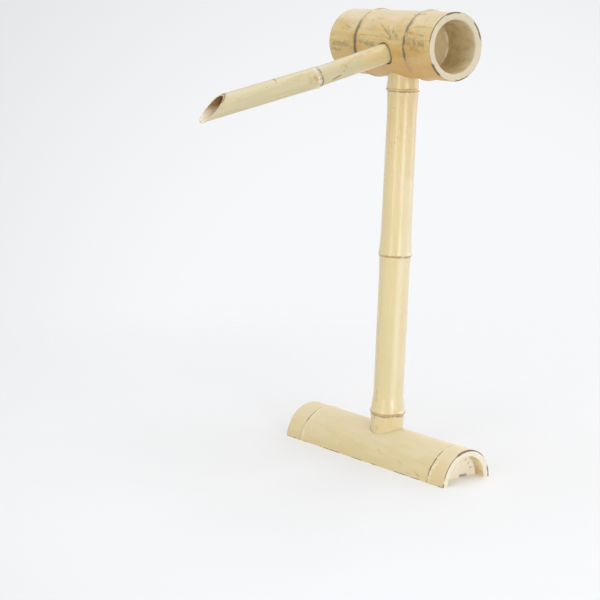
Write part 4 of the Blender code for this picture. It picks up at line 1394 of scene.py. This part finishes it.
BASE_FINISH = BambooFinish(
    name="matte_bamboo",
    light=tone(228, 210, 162),
    dark=tone(222, 202, 152),
    warm=tone(221, 198, 146),
    cool=tone(217, 206, 158),
    roughness=0.42,
    sawn=tone(239, 230, 207),
    inner=tone(240, 222, 176),
    deep=tone(216, 188, 136),
    plate=tone(254, 246, 228),
    # A painted sheen on the top of the half culm.
    painted_sheen=tone(234, 222, 194),
    painted_sheen_share=0.45,
    blemishes=(
        (-0.0275, 0.012, 0.0009),
        (-0.024, 0.018, 0.0012),
        (-0.0185, 0.0235, 0.0009),
        (-0.012, 0.0275, 0.0011),
    ),
    scorch=tone(112, 84, 68),
    lines=(
        NodeLine(-0.0013, 0.0028, tone(114, 98, 74), 0.88, 0.2, 0.0004, 3.0, (0,), (-160, 34)),
        NodeLine(-0.0013, 0.0034, tone(208, 196, 172), 0.6, 0.15, 0.0008, 6.0, (0,), (-104, 30)),
        NodeLine(-0.0013, 0.0032, tone(126, 106, 80), 0.88, 0.44, 0.0005, 8.0, (1,)),
        NodeLine(-0.0013, 0.0022, tone(140, 118, 88), 0.75, 0.34, 0.0003, 9.0, (0,), (120, 50)),
    ),
    smudge=tone(196, 172, 126),
    contrast=0.25,
    grain=0.3,
    cloud_size=17.0,
    cloud_stretch=0.5,
    warm_share=0.5,
    cool_share=0.45,
    smudge_share=0.16,
    fleck_offset=0.0014,
    fleck_cover=0.25,
    fleck=tone(240, 232, 214),
    speck=tone(170, 138, 88),
    speck_share=0.1,
    scorch_width=0.7,
    marks=(
        Marks.of(
            tone(196, 166, 112),
            Stroke((-178, 0.027), (-176, 0.033), 0.004, 0.6, 0.2),
            Stroke((-120, 0.02), (-118, 0.024), 0.0022, 0.5, 0.3),
            Stroke((-112, 0.062), (-110, 0.066), 0.0022, 0.45, 0.3),
            Stroke((-103, 0.093), (-99, 0.101), 0.0045, 0.5, 0.4),
            Stroke((-108, -0.05), (-107, -0.044), 0.0025, 0.3, 0.4),
            Stroke((-98, 0.079), (-97, 0.084), 0.003, 0.4, 0.4),
        ),
        Marks.of(
            tone(104, 86, 66),
            Stroke((-140, -0.1256), (-133, -0.126), 0.003, 0.9, 0.2),
            Stroke((-122, 0.1183), (-116, 0.1181), 0.0028, 0.8, 0.3),
            Stroke((-108, 0.1182), (-104, 0.1182), 0.0022, 0.75, 0.3),
            Stroke((-98, 0.1182), (-95, 0.1182), 0.0022, 0.6, 0.3),
        ),
        Marks.of(
            tone(242, 236, 220),
            Stroke((-108, -0.1215), (-100, -0.121), 0.0034, 0.45, 0.42),
            Stroke((-138, 0.1222), (-118, 0.122), 0.0044, 0.9, 0.52),
            Stroke((-112, 0.122), (-100, 0.1216), 0.0034, 0.7, 0.54),
        ),
    ),
    burns=(
        Burn(Edge.HIGH, -177, 26, 0.0022),
        Burn(Edge.HIGH, 152, 18, 0.0014),
        Burn(Edge.HIGH, 99, 14, 0.0024),
        Burn(Edge.HIGH, -91, 8, 0.0012),
        Burn(Edge.HIGH, -130, 24, 0.0008),
        Burn(Edge.LOW, 140, 24, 0.002),
        # Dark lines along the front and back edges that the culm lies on: partly a burnt corner, partly painted
        # contact shadow.
        Burn(Edge.FLOOR, -90, 12, 0.0005),
        Burn(Edge.FLOOR, 90, 12, 0.0005),
    ),
)

SPOUT_FINISH = BambooFinish(
    name="pale_bamboo",
    light=tone(211, 200, 163),
    dark=tone(200, 188, 148),
    warm=tone(211, 189, 142),
    cool=tone(199, 194, 152),
    roughness=0.34,
    sawn=tone(250, 243, 223),
    inner=tone(172, 132, 80),
    deep=tone(142, 104, 62),
    plate=tone(190, 158, 108),
    scorch=tone(150, 116, 96),
    lines=(
        NodeLine(0.001, 0.008, tone(232, 226, 208), 0.75, 0.34, 0.0012, 2.5),
        NodeLine(0.0002, 0.006, tone(156, 140, 116), 0.7, 0.48, 0.001, 8.5),
        NodeLine(-0.0024, 0.0026, tone(132, 108, 82), 0.8, 0.34, 0.0006, 5.5),
    ),
    smudge=tone(188, 164, 118),
    contrast=0.35,
    grain=0.2,
    coat=0.15,
    cloud_size=16.0,
    warm_share=0.35,
    cool_share=0.45,
    smudge_share=0.12,
    speck=tone(128, 104, 76),
    speck_share=0.14,
    speck_size=0.24,
    scorch_width=0.9,
    scorch_share=0.8,
    relief_depth=0.00004,
    marks=(
        Marks.of(tone(218, 188, 116), Stroke((16, 0.04), (8, 0.072), 0.028, 0.45, 0.0)),
        # A white stripe along the spout's lower side near the head: a painted highlight.
        Marks.of(tone(240, 232, 216), Stroke((-57, 0.05), (-53, 0.098), 0.0044, 0.7, 0.25)),
        Marks.of(
            tone(192, 154, 88),
            Stroke((14, 0.1615), (2, 0.16), 0.006, 0.75, 0.3),
            Stroke((26, 0.17), (0, 0.168), 0.008, 0.55, 0.48),
            Stroke((50, 0.178), (24, 0.19), 0.007, 0.45, 0.5),
            Stroke((24, 0.1135), (14, 0.112), 0.005, 0.6, 0.36),
            Stroke((66, 0.048), (44, 0.098), 0.006, 0.6, 0.5),
            Stroke((48, 0.09), (30, 0.118), 0.006, 0.5, 0.49),
            Stroke((52, 0.165), (44, 0.2), 0.005, 0.4, 0.5),
            Stroke((46, 0.168), (32, 0.21), 0.005, 0.35, 0.56),
            Stroke((-46, 0.17), (-52, 0.305), 0.003, 0.4, 0.42, True),
            Stroke((-50, 0.06), (-50, 0.14), 0.003, 0.3, 0.46, True),
        ),
        Marks.of(
            tone(112, 88, 76),
            Stroke((-24, 0.1225), (-35, 0.1335), 0.0025, 0.78, 0.33),
            Stroke((-6, 0.1172), (-4, 0.116), 0.0016, 0.7, 0.25),
            Stroke((88, 0.2152), (68, 0.215), 0.0024, 0.9, 0.25),
            Stroke((64, 0.215), (42, 0.2175), 0.001, 0.65, 0.3),
            Stroke((-34, 0.15), (-62, 0.15), 0.002, 0.75, 0.2),
            Stroke((36, 0.232), (35, 0.2328), 0.001, 0.6, 0.2),
            Stroke((23, 0.276), (22, 0.2765), 0.001, 0.6, 0.2),
            Stroke((11, 0.265), (10, 0.2655), 0.001, 0.6, 0.2),
            Stroke((60, 0.154), (30, 0.1536), 0.0018, 0.45, 0.4),
        ),
    ),
    burns=(Burn(Edge.HIGH, 62, 40, 0.0012),),
)


@dataclass
class CrossCulm(ClosedCulm):
    """The thick culm across the post's top."""

    post_hole: float = POST_TOP_RADIUS + FIT_GAP
    socket_play: float = 0.0008
    socket_play_angle: float = math.radians(-5)

    @property
    def hole_radius(self) -> float:
        """The spout hole's radius."""
        return SPOUT_ROOT_RADIUS + FIT_GAP + self.socket_play

    @property
    def hole_place(self) -> Matrix:
        """The spout hole's place, a little to the side of the spout."""
        way = Matrix.Rotation(self.socket_play_angle, 4, "Z") @ Vector((self.socket_play, 0, 0))
        return SPOUT_PLACE @ Matrix.Translation(way)

    def shape(self) -> bpy.types.Object:
        """The culm with its hollow, the post's hole below and the spout's hole in front."""
        body = self.hollowed()
        reach = self.radius + OVERRUN
        carve(body, rod_cutter(self.post_hole, -reach, 0.0, HEAD_PIVOT))
        carve(body, rod_cutter(self.hole_radius, 0.0, reach, self.hole_place))
        return body

    def hole_distances(self, spot: Spot) -> list[Socket]:
        """The edge of the spout's hole, in front."""
        graph = spot.graph
        to_own = self.place.inverted() @ self.hole_place
        axis = (to_own.to_3x3() @ Vector((0, 0, 1))).normalized()
        off = graph.vector("SUBTRACT", spot.place, tuple(to_own.translation * MM))
        run = graph.vector("DOT_PRODUCT", off, tuple(axis))
        beside = graph.vector("DISTANCE", off, graph.scaled(graph.joined(*axis), run))
        behind = graph.product(graph.math("LESS_THAN", run, 0.0), self.radius * MM)
        return [graph.plus(graph.minus(beside, self.hole_radius * MM), behind)]


@dataclass
class HalfCulm(ClosedCulm):
    """The half culm that the spout stands on."""

    notch_width: float = 0.015
    notch_height: float = 0.0026
    notch_shift: float = 0.0181
    saw_rise: float = 0.0016
    edge_wear: float = 0.0003

    def edge_distances(self, spot: Spot) -> dict[Edge, Socket]:
        """The two ends, and the sawn edges that it lies on, which are dark in stretches: partly a burnt corner and
        partly painted contact shadow where the culm meets the floor.
        """
        graph = spot.graph
        clean = graph.noise(graph.joined(0.0, spot.y, spot.z), CLEAN_STRETCHES)
        above = graph.minus(-self.saw_rise * MM, spot.x)
        above = graph.plus(above, graph.step(clean, *CLEAN_STRETCHES.window))
        return {**super().edge_distances(spot), Edge.FLOOR: graph.minus(above, self.edge_wear * MM)}

    def zone_at(self, centre: np.ndarray, normal: np.ndarray) -> Zone:
        """As on any culm, with the underside sawn."""
        underneath = normal[0] > 0.98 and centre[0] > -self.saw_rise - SURFACE_PLAY
        return Zone.SAWN if underneath else super().zone_at(centre, normal)

    def trim(self, ring: bpy.types.Object) -> None:
        """Leaves the half above the floor."""
        side = self.radius + OVERRUN
        low, high = self.ends
        carve(ring, box_cutter((low, -side, -side), (high, side, FIT_GAP)))

    def shape(self) -> bpy.types.Object:
        """The sawn culm, with the post's hole, a notch in one diaphragm and the hose's hole in the other."""
        body = self.hollowed()
        side = self.radius + self.ridge + OVERRUN
        low, high = self.ends
        left, right = self.plates
        carve(body, box_cutter((low - OVERRUN, -side, -side), (high + OVERRUN, side, 0)))
        carve(body, rod_cutter(POST_FOOT_RADIUS + FIT_GAP, POST_START, self.radius + OVERRUN, LEVEL))
        depth = self.plate_thickness + self.dish + OVERRUN
        front, back = (self.notch_shift + self.notch_width * share for share in (-0.5, 0.5))
        carve(body, box_cutter((right - depth, front, -OVERRUN), (right + depth, back, self.notch_height)))
        carve(body, rod_cutter(HOSE_HOLE, left - depth, left + depth, HOSE_LINE, 48))
        return body


@dataclass
class TubeCulm(Culm):
    """A culm that is open from end to end, with bored diaphragms at its nodes."""

    bore: float = 0.0149
    plate_bore: float = HOSE_HOLE
    plate_thickness: float = 0.006

    def bored_outline(self, low: float, high: float) -> Outline:
        """Points up the inner side."""
        fillet = (self.bore - self.plate_bore) / 2
        half = self.plate_thickness / 2
        face = ((self.bore, half + fillet), (self.bore - fillet, half), (self.plate_bore, half))
        points = [(self.bore, low)]
        for node in self.nodes:
            points += [(radius, node - away) for radius, away in face]
            points += [(radius, node + away) for radius, away in reversed(face)]
        return [*points, (self.bore, high)]

    def tube(self) -> bpy.types.Object:
        """The turned tube, still along its own axis."""
        low, high = self.ends
        outline = self.skin_outline(low + self.corner, high - self.corner)
        outline += self.rim_outline(self.bore, low, up=False)[::-1]
        outline += self.bored_outline(low + self.corner * 2, high - self.corner * 2)
        outline += self.rim_outline(outline[-1][0], high, up=True) + outline[:1]
        body = turned(self.name, outline, self.steps)
        self.weather(body)
        return body

    def zone_at(self, centre: np.ndarray, normal: np.ndarray) -> Zone:
        """Skin outside, hollow inside, and sawn wood where the face looks along the culm."""
        radius, outward = from_axis(centre, normal)
        if radius < self.bore + self.corner * 0.6 or outward < -0.5:
            return Zone.INNER
        on_skin = radius > self.outer_radius(centre[2]) - 3 * SURFACE_PLAY
        return Zone.SKIN if on_skin and outward > SKIN_FACING + 0.05 else Zone.SAWN


@dataclass
class PostCulm(TubeCulm):
    """The glossy upright culm, cut away in front at its top where the hose turns into the head."""

    rim_height: float = 0.5341
    tongue_set_back: float = 0.008

    def shape(self) -> bpy.types.Object:
        """The post in its place."""
        body = self.tube()
        settle(body, self.place)
        side = POST_TOP_RADIUS + OVERRUN
        low = (-side, -side, self.rim_height)
        high = (side, self.tongue_set_back, self.ends[1] + OVERRUN)
        carve(body, box_cutter(low, high, Matrix.Rotation(HEAD_YAW, 4, "Z")))
        return body


@dataclass
class SpoutCulm(TubeCulm):
    """The thin culm that the water leaves by: slanted at its mouth and kinked at its node."""

    mouth_angle: float = math.radians(35.3)
    mouth_bore: float = 0.0117
    flare: float = 0.030
    slant_run: float = 0.055
    kink: float = math.radians(2.25)
    kink_blend: float = 0.006

    @property
    def lip(self) -> Vector:
        """The mouth's lowest point on the straight culm."""
        return Vector((0, -self.outer_radius(self.ends[1]), self.ends[1]))

    @property
    def mouth_normal(self) -> Vector:
        """The slanted cut's normal, which points away from the culm."""
        return Vector((0, math.cos(self.mouth_angle), math.sin(self.mouth_angle)))

    def kink_at(self, height: float) -> float:
        """How far the culm has turned at a height on the straight culm."""
        share = (height - self.nodes[0] + self.kink_blend) / (2 * self.kink_blend)
        return self.kink * eased(min(max(share, 0.0), 1.0))

    def bent(self, place: Vector) -> Vector:
        """Where the kink takes a place on the straight culm."""
        angle = self.kink_at(place.z)
        along, up = place.z - self.nodes[0], place.y
        rise = up * math.cos(angle) + along * math.sin(angle)
        return Vector((place.x, rise, self.nodes[0] + along * math.cos(angle) - up * math.sin(angle)))

    def straightened(self, places: np.ndarray) -> np.ndarray:
        """Takes out the kink, then the wandering."""
        for place in places:
            angle = self.kink_at(place[2])
            along, up = place[2] - self.nodes[0], place[1]
            place[1] = up * math.cos(angle) - along * math.sin(angle)
            place[2] = self.nodes[0] + along * math.cos(angle) + up * math.sin(angle)
        return super().straightened(places)

    def zone_at(self, centre: np.ndarray, normal: np.ndarray) -> Zone:
        """As on any tube, with the slanted cut sawn."""
        above = (Vector(centre) - self.lip).dot(self.mouth_normal)
        return Zone.SAWN if above > -self.corner * 1.1 else super().zone_at(centre, normal)

    def edge_distances(self, spot: Spot) -> dict[Edge, Socket]:
        """The mouth's slanted edge alone."""
        graph = spot.graph
        rise = graph.product(graph.minus(spot.y, self.lip.y * MM), -self.mouth_normal.y)
        run = graph.product(graph.minus(spot.z, self.lip.z * MM), -self.mouth_normal.z)
        return {Edge.HIGH: graph.plus(rise, run)}

    def bored_outline(self, low: float, high: float) -> Outline:
        """As on any tube, and opening out towards the mouth."""
        widening = self.mouth_bore - self.bore
        shares = ((1.0, 0.0), (0.7, 0.2), (0.45, 0.45), (0.2, 0.75), (0.0, 1.0))
        flared = [(self.bore + widening * wide, high - self.flare * back) for back, wide in shares]
        return super().bored_outline(low, high)[:-1] + flared

    def slanted(self, place: Vector) -> Vector:
        """Where the mouth's slant takes a place on a tube that is cut off square."""
        start = self.lip.z - self.slant_run
        if place.z <= start:
            return place
        cut = self.lip.z - (place.y - self.lip.y) / math.tan(self.mouth_angle)
        share = (place.z - start) / self.slant_run
        return Vector((place.x, place.y, start + share * (cut - start)))

    def shape(self) -> bpy.types.Object:
        """The spout in its place."""
        body = self.tube()
        for vertex in body.data.vertices:
            vertex.co = self.bent(self.slanted(vertex.co))
        settle(body, self.place)
        return body


def cross_culm() -> CrossCulm:
    """The head, with its sizes."""
    return CrossCulm(
        name="cross_culm",
        cad_node="head_culm",
        body="head",
        slot="brown_bamboo",
        finish=HEAD_FINISH,
        radius=0.0429,
        wall=0.0095,
        ends=(-0.1091, 0.1001),
        nodes=(-0.0516, 0.0502),
        reaches=(0.013, 0.013),
        ridge=0.0023,
        place=HEAD_PIVOT @ LYING,
        steps=160,
        groove_offset=-0.0017,
        groove_depth=0.0009,
        groove_width=0.0012,
        inner_corner=0.0022,
        # Painted light on the hollow's wall near the open ends.
        painted_light_rim=0.016,
        plates=(-0.0596, 0.0422),
        plate_thickness=0.0040,
        dish=0.0030,
        corner=0.0005,
        seed=2.0,
    )


def half_culm() -> HalfCulm:
    """The foot, with its sizes."""
    return HalfCulm(
        name="half_culm_foot",
        cad_node="base_culm",
        body="stand",
        slot="matte_bamboo",
        finish=BASE_FINISH,
        radius=0.0444,
        wall=0.0089,
        ends=(-0.1547, 0.1446),
        nodes=(-0.1245, 0.1195),
        reaches=(0.014, 0.014),
        ridge=0.0016,
        place=Matrix.Translation((0, 0.0021, -0.0016)) @ LYING,
        steps=168,
        groove_offset=-0.0013,
        groove_depth=0.0005,
        groove_width=0.0006,
        wander=0.0007,
        wander_pace=3.0,
        drifts=(
            ((-180, 0.0030), (-152, 0.0030), (-128, 0.0026), (-109, 0.0004), (-92, -0.0014), (92, 0.0010)),
            ((-180, 0.0008), (-160, 0.0010), (-134, 0.0010), (-115, -0.0008), (-90, -0.0015), (92, -0.0004)),
        ),
        inner_corner=0.0009,
        # Painted light on the hollow's wall near the open ends.
        painted_light_rim=0.006,
        plates=(-0.1217, 0.1223),
        plate_thickness=0.0050,
        dish=0.0042,
        fringe=0.0028,
        seed=5.0,
    )


def post_culm() -> PostCulm:
    """The post, with its sizes."""
    return PostCulm(
        name="upright_culm",
        cad_node="post_culm",
        body="stand",
        slot="glossy_bamboo",
        finish=POST_FINISH,
        radius=0.0204,
        wall=0.0048,
        ends=(POST_START, 0.5809),
        nodes=(0.0636, 0.2789, 0.4956),
        reaches=(0.0208, 0.030, 0.0165),
        ridge=0.0026,
        place=LEVEL,
        steps=112,
        girth=(
            (POST_START, POST_FOOT_RADIUS),
            (0.0636, POST_FOOT_RADIUS),
            (0.0936, 0.0204),
            (0.3089, 0.0204),
            (0.4656, 0.0197),
            (0.5121, POST_TOP_RADIUS),
            (0.5809, POST_TOP_RADIUS),
        ),
        wander=0.0010,
        lump=0.00012,
        seed=8.0,
    )


def spout_culm() -> SpoutCulm:
    """The spout, with its sizes."""
    return SpoutCulm(
        name="spout_tube",
        cad_node="spout_culm",
        body="spout",
        slot="pale_bamboo",
        finish=SPOUT_FINISH,
        radius=0.0125,
        wall=0.0036,
        ends=(0.0265, 0.3256),
        nodes=(0.1526,),
        reaches=(0.013,),
        ridge=0.0019,
        place=SPOUT_PLACE,
        steps=80,
        girth=(
            (0.0265, SPOUT_ROOT_RADIUS),
            (0.0429, SPOUT_ROOT_RADIUS),
            (0.1396, 0.0124),
            (0.1526, 0.0124),
            (0.1656, 0.0133),
            (0.3256, 0.0134),
        ),
        groove_depth=0.0004,
        wander=0.0008,
        lump=0.00012,
        lump_size=0.018,
        corner=0.0003,
        # Painted light on the mouth's lower inner wall, the lit lower lip.
        painted_light_rim=0.030,
        painted_light_below=True,
        bore=0.0087,
        plate_bore=0.0070,
        plate_thickness=0.005,
        seed=11.0,
    )


@dataclass
class InletFitting:
    """The hose tail through the foot's left diaphragm, and the nut that holds it."""

    inside: float = -0.1189
    outside: float = -0.1245
    flange: float = 0.0025
    flange_radius: float = 0.0090
    thread_radius: float = 0.0060
    thread_pitch: float = 0.0010
    thread_depth: float = 0.0004
    tail_radius: float = 0.0042
    barb_depth: float = 0.0007
    barb_pitch: float = 0.0040
    bore: float = 0.0028
    tail: float = 0.016
    inner_tail: float = 0.012
    nut_radius: float = 0.0095
    nut_length: float = 0.0040
    nut_corner: float = 0.0005
    steps: int = 48
    place: Matrix = field(default_factory=HOSE_LINE.copy)

    def barbs(self, start: float, end: float) -> Outline:
        """Points along a barbed tail, from its root to its tip."""
        sign = 1 if end > start else -1
        count = int(abs(end - start) / self.barb_pitch)
        points: Outline = []
        for number in range(count):
            near = start + sign * self.barb_pitch * number
            far = near + sign * self.barb_pitch
            points += [(self.tail_radius, near), (self.tail_radius - self.barb_depth, far)]
        return [*points, (self.tail_radius - self.barb_depth, end)]

    def thread(self, start: float, end: float) -> Outline:
        """Points along the threaded stretch, from start down to end."""
        count = int((start - end) / self.thread_pitch)
        points: Outline = []
        for number in range(count):
            crest = start - self.thread_pitch * (number + 0.5)
            points += [(self.thread_radius - self.thread_depth, crest + self.thread_pitch / 2)]
            points += [(self.thread_radius, crest)]
        return [*points, (self.thread_radius - self.thread_depth, end)]

    def build(self) -> list[bpy.types.Object]:
        """The tail and its nut.

        Returns:
            The two pieces, on the stand.
        """
        flange_end = self.inside + self.flange
        thread_end = self.outside - self.nut_length
        inner_tip = flange_end + self.inner_tail
        outer_tip = thread_end - self.tail
        outline = self.barbs(flange_end, inner_tip)[::-1]
        outline += [(self.flange_radius, flange_end), (self.flange_radius, self.inside)]
        outline += self.thread(self.inside, thread_end) + self.barbs(thread_end, outer_tip)
        outline += [(self.bore, outer_tip), (self.bore, inner_tip), outline[0]]
        tail = turned("inlet_hose_tail", outline, self.steps)
        settle(tail, self.place)
        deselect_all()
        bpy.ops.mesh.primitive_cylinder_add(vertices=6, radius=self.nut_radius, depth=self.nut_length)
        nut = bpy.context.object
        nut.name = "inlet_lock_nut"
        with whole_mesh(nut):
            bpy.ops.mesh.bevel(offset=self.nut_corner, segments=3, affect="EDGES")
        settle(nut, self.place @ Matrix.Translation((0, 0, (self.outside + thread_end) / 2)))
        carve(nut, rod_cutter(HOSE_HOLE, thread_end - OVERRUN, self.outside + OVERRUN, self.place, self.steps))
        paint = moulded_plastic("inlet_plastic", tone(34, 34, 36))
        for piece, node in ((tail, "inlet_joiner"), (nut, "inlet_nut")):
            smooth(piece)
            piece.data.materials.append(paint)
            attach(piece, "stand")
            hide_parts(node)
        return [tail, nut]


PLASTIC_GRAIN = Pattern(0.35)
SCUFFS = Pattern(1.8, 4.0, 0.7, (0.3, 1.0, 1.0), (0.55, 0.72))
HAZE = Pattern(6.0, 3.0)
HOSE_RIPPLE = Pattern(0.8)
TIMBER_GRAIN = Pattern(3.0, 3.0, 0.6, (0.03, 1.0, 0.5), (0.35, 0.65))
TIMBER_SAW = Pattern(1.2, stretch=(2.0, 0.1, 0.1))
TURNING_MARKS = Pattern(0.9, 3.0, 0.7, (1.0, 1.0, 6.0))
BLOOM = Pattern(2.5, 4.0, 0.6, window=(0.4, 0.75))
RUBBER_GRAIN = Pattern(0.5)


def moulded_plastic(name: str, colour: Colour) -> bpy.types.Material:
    """Moulded plastic with a fine grain and dull scuffs."""
    graph = Graph(name)
    place = graph.object_place()
    scuff = graph.noise(place, SCUFFS)
    mixed = graph.layered(colour, tone(92, 92, 92), graph.step(scuff, *SCUFFS.window), 0.3)
    graph.relief(graph.noise(place, PLASTIC_GRAIN), 0.00008)
    return graph.finish(mixed, graph.rising(0.42, scuff, 0.2))


def clear_vinyl(name: str) -> bpy.types.Material:
    """Soft milky hose."""
    graph = Graph(name)
    place = graph.object_place()
    haze = graph.noise(place, HAZE)
    colour = graph.mix(haze, tone(222, 228, 222), tone(198, 206, 196))
    graph.relief(graph.noise(place, HOSE_RIPPLE), 0.00005)
    return graph.finish(colour, graph.rising(0.16, haze, 0.12), Transmission_Weight=0.35)


def sawn_timber(name: str) -> bpy.types.Material:
    """The hidden block's plain wood: long grain along X and saw marks across it."""
    graph = Graph(name)
    place = graph.object_place()
    rings = graph.noise(place, TIMBER_GRAIN)
    colour = graph.mix(graph.step(rings, *TIMBER_GRAIN.window), tone(206, 172, 122), tone(170, 130, 84))
    graph.relief(graph.rising(rings, graph.noise(place, TIMBER_SAW), 0.6), 0.0003)
    return graph.finish(colour, graph.rising(0.62, rings, 0.15))


def plated_steel(name: str) -> bpy.types.Material:
    """Zinc-plated screw steel with faint turning marks."""
    graph = Graph(name)
    place = graph.object_place()
    marks = graph.noise(place, TURNING_MARKS)
    colour = graph.mix(marks, tone(196, 196, 190), tone(160, 158, 150))
    graph.relief(marks, 0.00005)
    return graph.finish(colour, graph.rising(0.25, marks, 0.2), Metallic=1.0)


def seal_rubber(name: str) -> bpy.types.Material:
    """Matte black rubber with a dusty bloom."""
    graph = Graph(name)
    place = graph.object_place()
    bloom = graph.noise(place, BLOOM)
    colour = graph.mix(graph.step(bloom, *BLOOM.window), tone(30, 30, 31), tone(64, 62, 58))
    graph.relief(graph.noise(place, RUBBER_GRAIN), 0.00006)
    return graph.finish(colour, graph.rising(0.65, bloom, 0.2))


@dataclass
class CarriedParts:
    """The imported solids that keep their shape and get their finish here."""

    hoses: tuple[str, ...] = ("supply_hose", "riser_hose", "outlet_hose")
    fittings: tuple[str, ...] = ("foot_elbow", "swivel_joiner")
    screws: tuple[str, ...] = ("block_screw_1", "block_screw_2", "block_screw_3", "block_screw_4")

    def build(self) -> list[bpy.types.Object]:
        """Gives each node its material.

        Returns:
            The nodes.
        """
        paints = {
            clear_vinyl("hose_vinyl"): self.hoses,
            moulded_plastic("fitting_plastic", tone(30, 30, 31)): self.fittings,
            plated_steel("screw_zinc"): self.screws,
            sawn_timber("block_timber"): ("foot_block",),
            seal_rubber("ring_rubber"): ("spout_seal",),
        }
        found = []
        for paint, names in paints.items():
            for name in names:
                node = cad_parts[name]
                node.data.materials.clear()
                node.data.materials.append(paint)
                found.append(node)
        return found


@dataclass(frozen=True)
class Lamp:
    """A rectangular lamp: where it is, its width and height in metres, and its power in watts."""

    name: str
    place: Triple
    size: Pair
    power: float


@dataclass
class Studio:
    """A white floor, soft light and the camera."""

    heading: float = math.radians(47.2785)
    pitch: float = math.radians(10.7724)
    roll: float = math.radians(2.0931)
    camera_place: Triple = (1.37532, -1.43928, 0.59022)
    lens: float = 90.654
    sensor: float = 36.0
    backdrop_tint: Colour = (0.985, 0.993, 1.010, 1.0)
    backdrop_slope: Triple = (-1.730, 1.922, -0.650)
    backdrop_level: float = -1.681
    beside_slope: Triple = (0.794, -0.733, 0.206)
    beside_level: float = 1.860
    backdrop_limits: Pair = (0.80, 0.943)
    floor_colour: Colour = (0.90, 0.907, 0.922, 1.0)
    floor_radius: float = 6.0
    fade: Pair = (0.35, 1.1)
    sky_strength: float = 0.48
    lamps: tuple[Lamp, ...] = (
        Lamp("ceiling_softbox", (-0.02, -0.06, 2.5), (2.6, 2.6), 29.8),
        Lamp("right_panel", (2.20, -0.72, 0.76), (0.90, 1.5), 13.5),
        Lamp("left_panel", (0.43, -2.28, 0.76), (0.80, 1.5), 8.5),
        Lamp("side_panel", (1.30, 2.20, 0.90), (1.60, 1.7), 11.0),
        Lamp("back_panel", (-0.90, 2.45, 1.10), (1.50, 1.5), 13.0),
    )
    aim: Triple = (0.0, 0.0, 0.35)

    def camera(self) -> None:
        """The camera at the photograph's angle."""
        data = bpy.data.cameras.new("camera")
        data.lens = self.lens
        data.sensor_width = self.sensor
        data.sensor_fit = "HORIZONTAL"
        camera = bpy.data.objects.new("camera", data)
        bpy.context.scene.collection.objects.link(camera)
        turn = Matrix.Rotation(self.heading, 4, "Z") @ Matrix.Rotation(RIGHT_ANGLE - self.pitch, 4, "X")
        camera.matrix_world = Matrix.Translation(self.camera_place) @ turn @ Matrix.Rotation(self.roll, 4, "Z")
        bpy.context.scene.camera = camera

    def in_view(self, graph: Graph) -> Socket:
        """1 for rays from the camera and those that gloss or glass pass on, or else 0."""
        path = graph.node("ShaderNodeLightPath", {}, {})
        rays = ("Is Camera Ray", "Is Glossy Ray", "Is Transmission Ray")
        return graph.largest(*(path.outputs[name] for name in rays))

    def sky(self) -> None:
        """An even white sky. The camera sees a backdrop that darkens a little to the picture's upper left."""
        world = bpy.data.worlds.new("studio")
        bpy.context.scene.world = world
        world.use_nodes = True
        graph = Graph.of_world(world)
        way = graph.node("ShaderNodeTexCoord", {}, {}).outputs["Generated"]
        lowest, highest = self.backdrop_limits
        level = graph.plus(graph.vector("DOT_PRODUCT", way, self.backdrop_slope), self.backdrop_level)
        beside = graph.plus(graph.vector("DOT_PRODUCT", way, self.beside_slope), self.beside_level)
        level = graph.smallest(graph.largest(level, beside, lowest), highest)
        shown = graph.node("ShaderNodeBackground", {}, {0: self.backdrop_tint, 1: level})
        light = graph.node("ShaderNodeBackground", {}, {0: (1.0, 1.0, 1.0, 1.0), 1: self.sky_strength})
        inputs = {0: self.in_view(graph), 1: light.outputs[0], 2: shown.outputs[0]}
        mix = graph.node("ShaderNodeMixShader", {}, inputs)
        graph.feed(graph.tree.nodes["World Output"].inputs[0], mix.outputs[0])

    def floor(self) -> None:
        """A round floor that takes the object's shadow and passes into the backdrop further out."""
        deselect_all()
        bpy.ops.mesh.primitive_circle_add(vertices=96, radius=self.floor_radius, fill_type="NGON")
        floor = bpy.context.object
        floor.name = "studio_floor"
        graph = Graph("studio_floor")
        graph.finish(self.floor_colour, 1.0, Specular_IOR_Level=0.0)
        away = graph.vector("LENGTH", graph.node("ShaderNodeTexCoord", {}, {}).outputs["Object"])
        share = graph.product(graph.step(away, *self.fade), self.in_view(graph))
        clear = graph.node("ShaderNodeBsdfTransparent", {}, {})
        mix = graph.node("ShaderNodeMixShader", {}, {0: share, 1: graph.shader.outputs[0], 2: clear.outputs[0]})
        graph.feed(graph.tree.nodes["Material Output"].inputs[0], mix.outputs[0])
        floor.data.materials.append(graph.material)

    def light(self) -> None:
        """The soft lamps, each turned to the object. The camera doesn't see them."""
        for lamp in self.lamps:
            data = bpy.data.lights.new(lamp.name, "AREA")
            data.shape = "RECTANGLE"
            data.size, data.size_y = lamp.size
            data.energy = lamp.power
            hung = bpy.data.objects.new(lamp.name, data)
            bpy.context.scene.collection.objects.link(hung)
            hung.visible_camera = False
            hung.location = lamp.place
            hung.rotation_mode = "QUATERNION"
            hung.rotation_quaternion = (Vector(self.aim) - Vector(lamp.place)).to_track_quat("-Z", "Y")

    def build(self) -> None:
        """Sets up the studio."""
        bpy.context.scene.view_settings.view_transform = "Standard"
        self.camera()
        self.sky()
        self.floor()
        self.light()


def main() -> None:
    """Builds the object's pieces in order, then the studio round them."""
    logging.basicConfig(level=logging.INFO, format="%(message)s")
    for part in (CarriedParts(), half_culm(), post_culm(), cross_culm(), spout_culm(), InletFitting()):
        for piece in part.build():
            LOG.info("%s: %d faces", piece.name, len(piece.data.polygons))
    Studio().build()


if __name__ == "__main__":
    main()
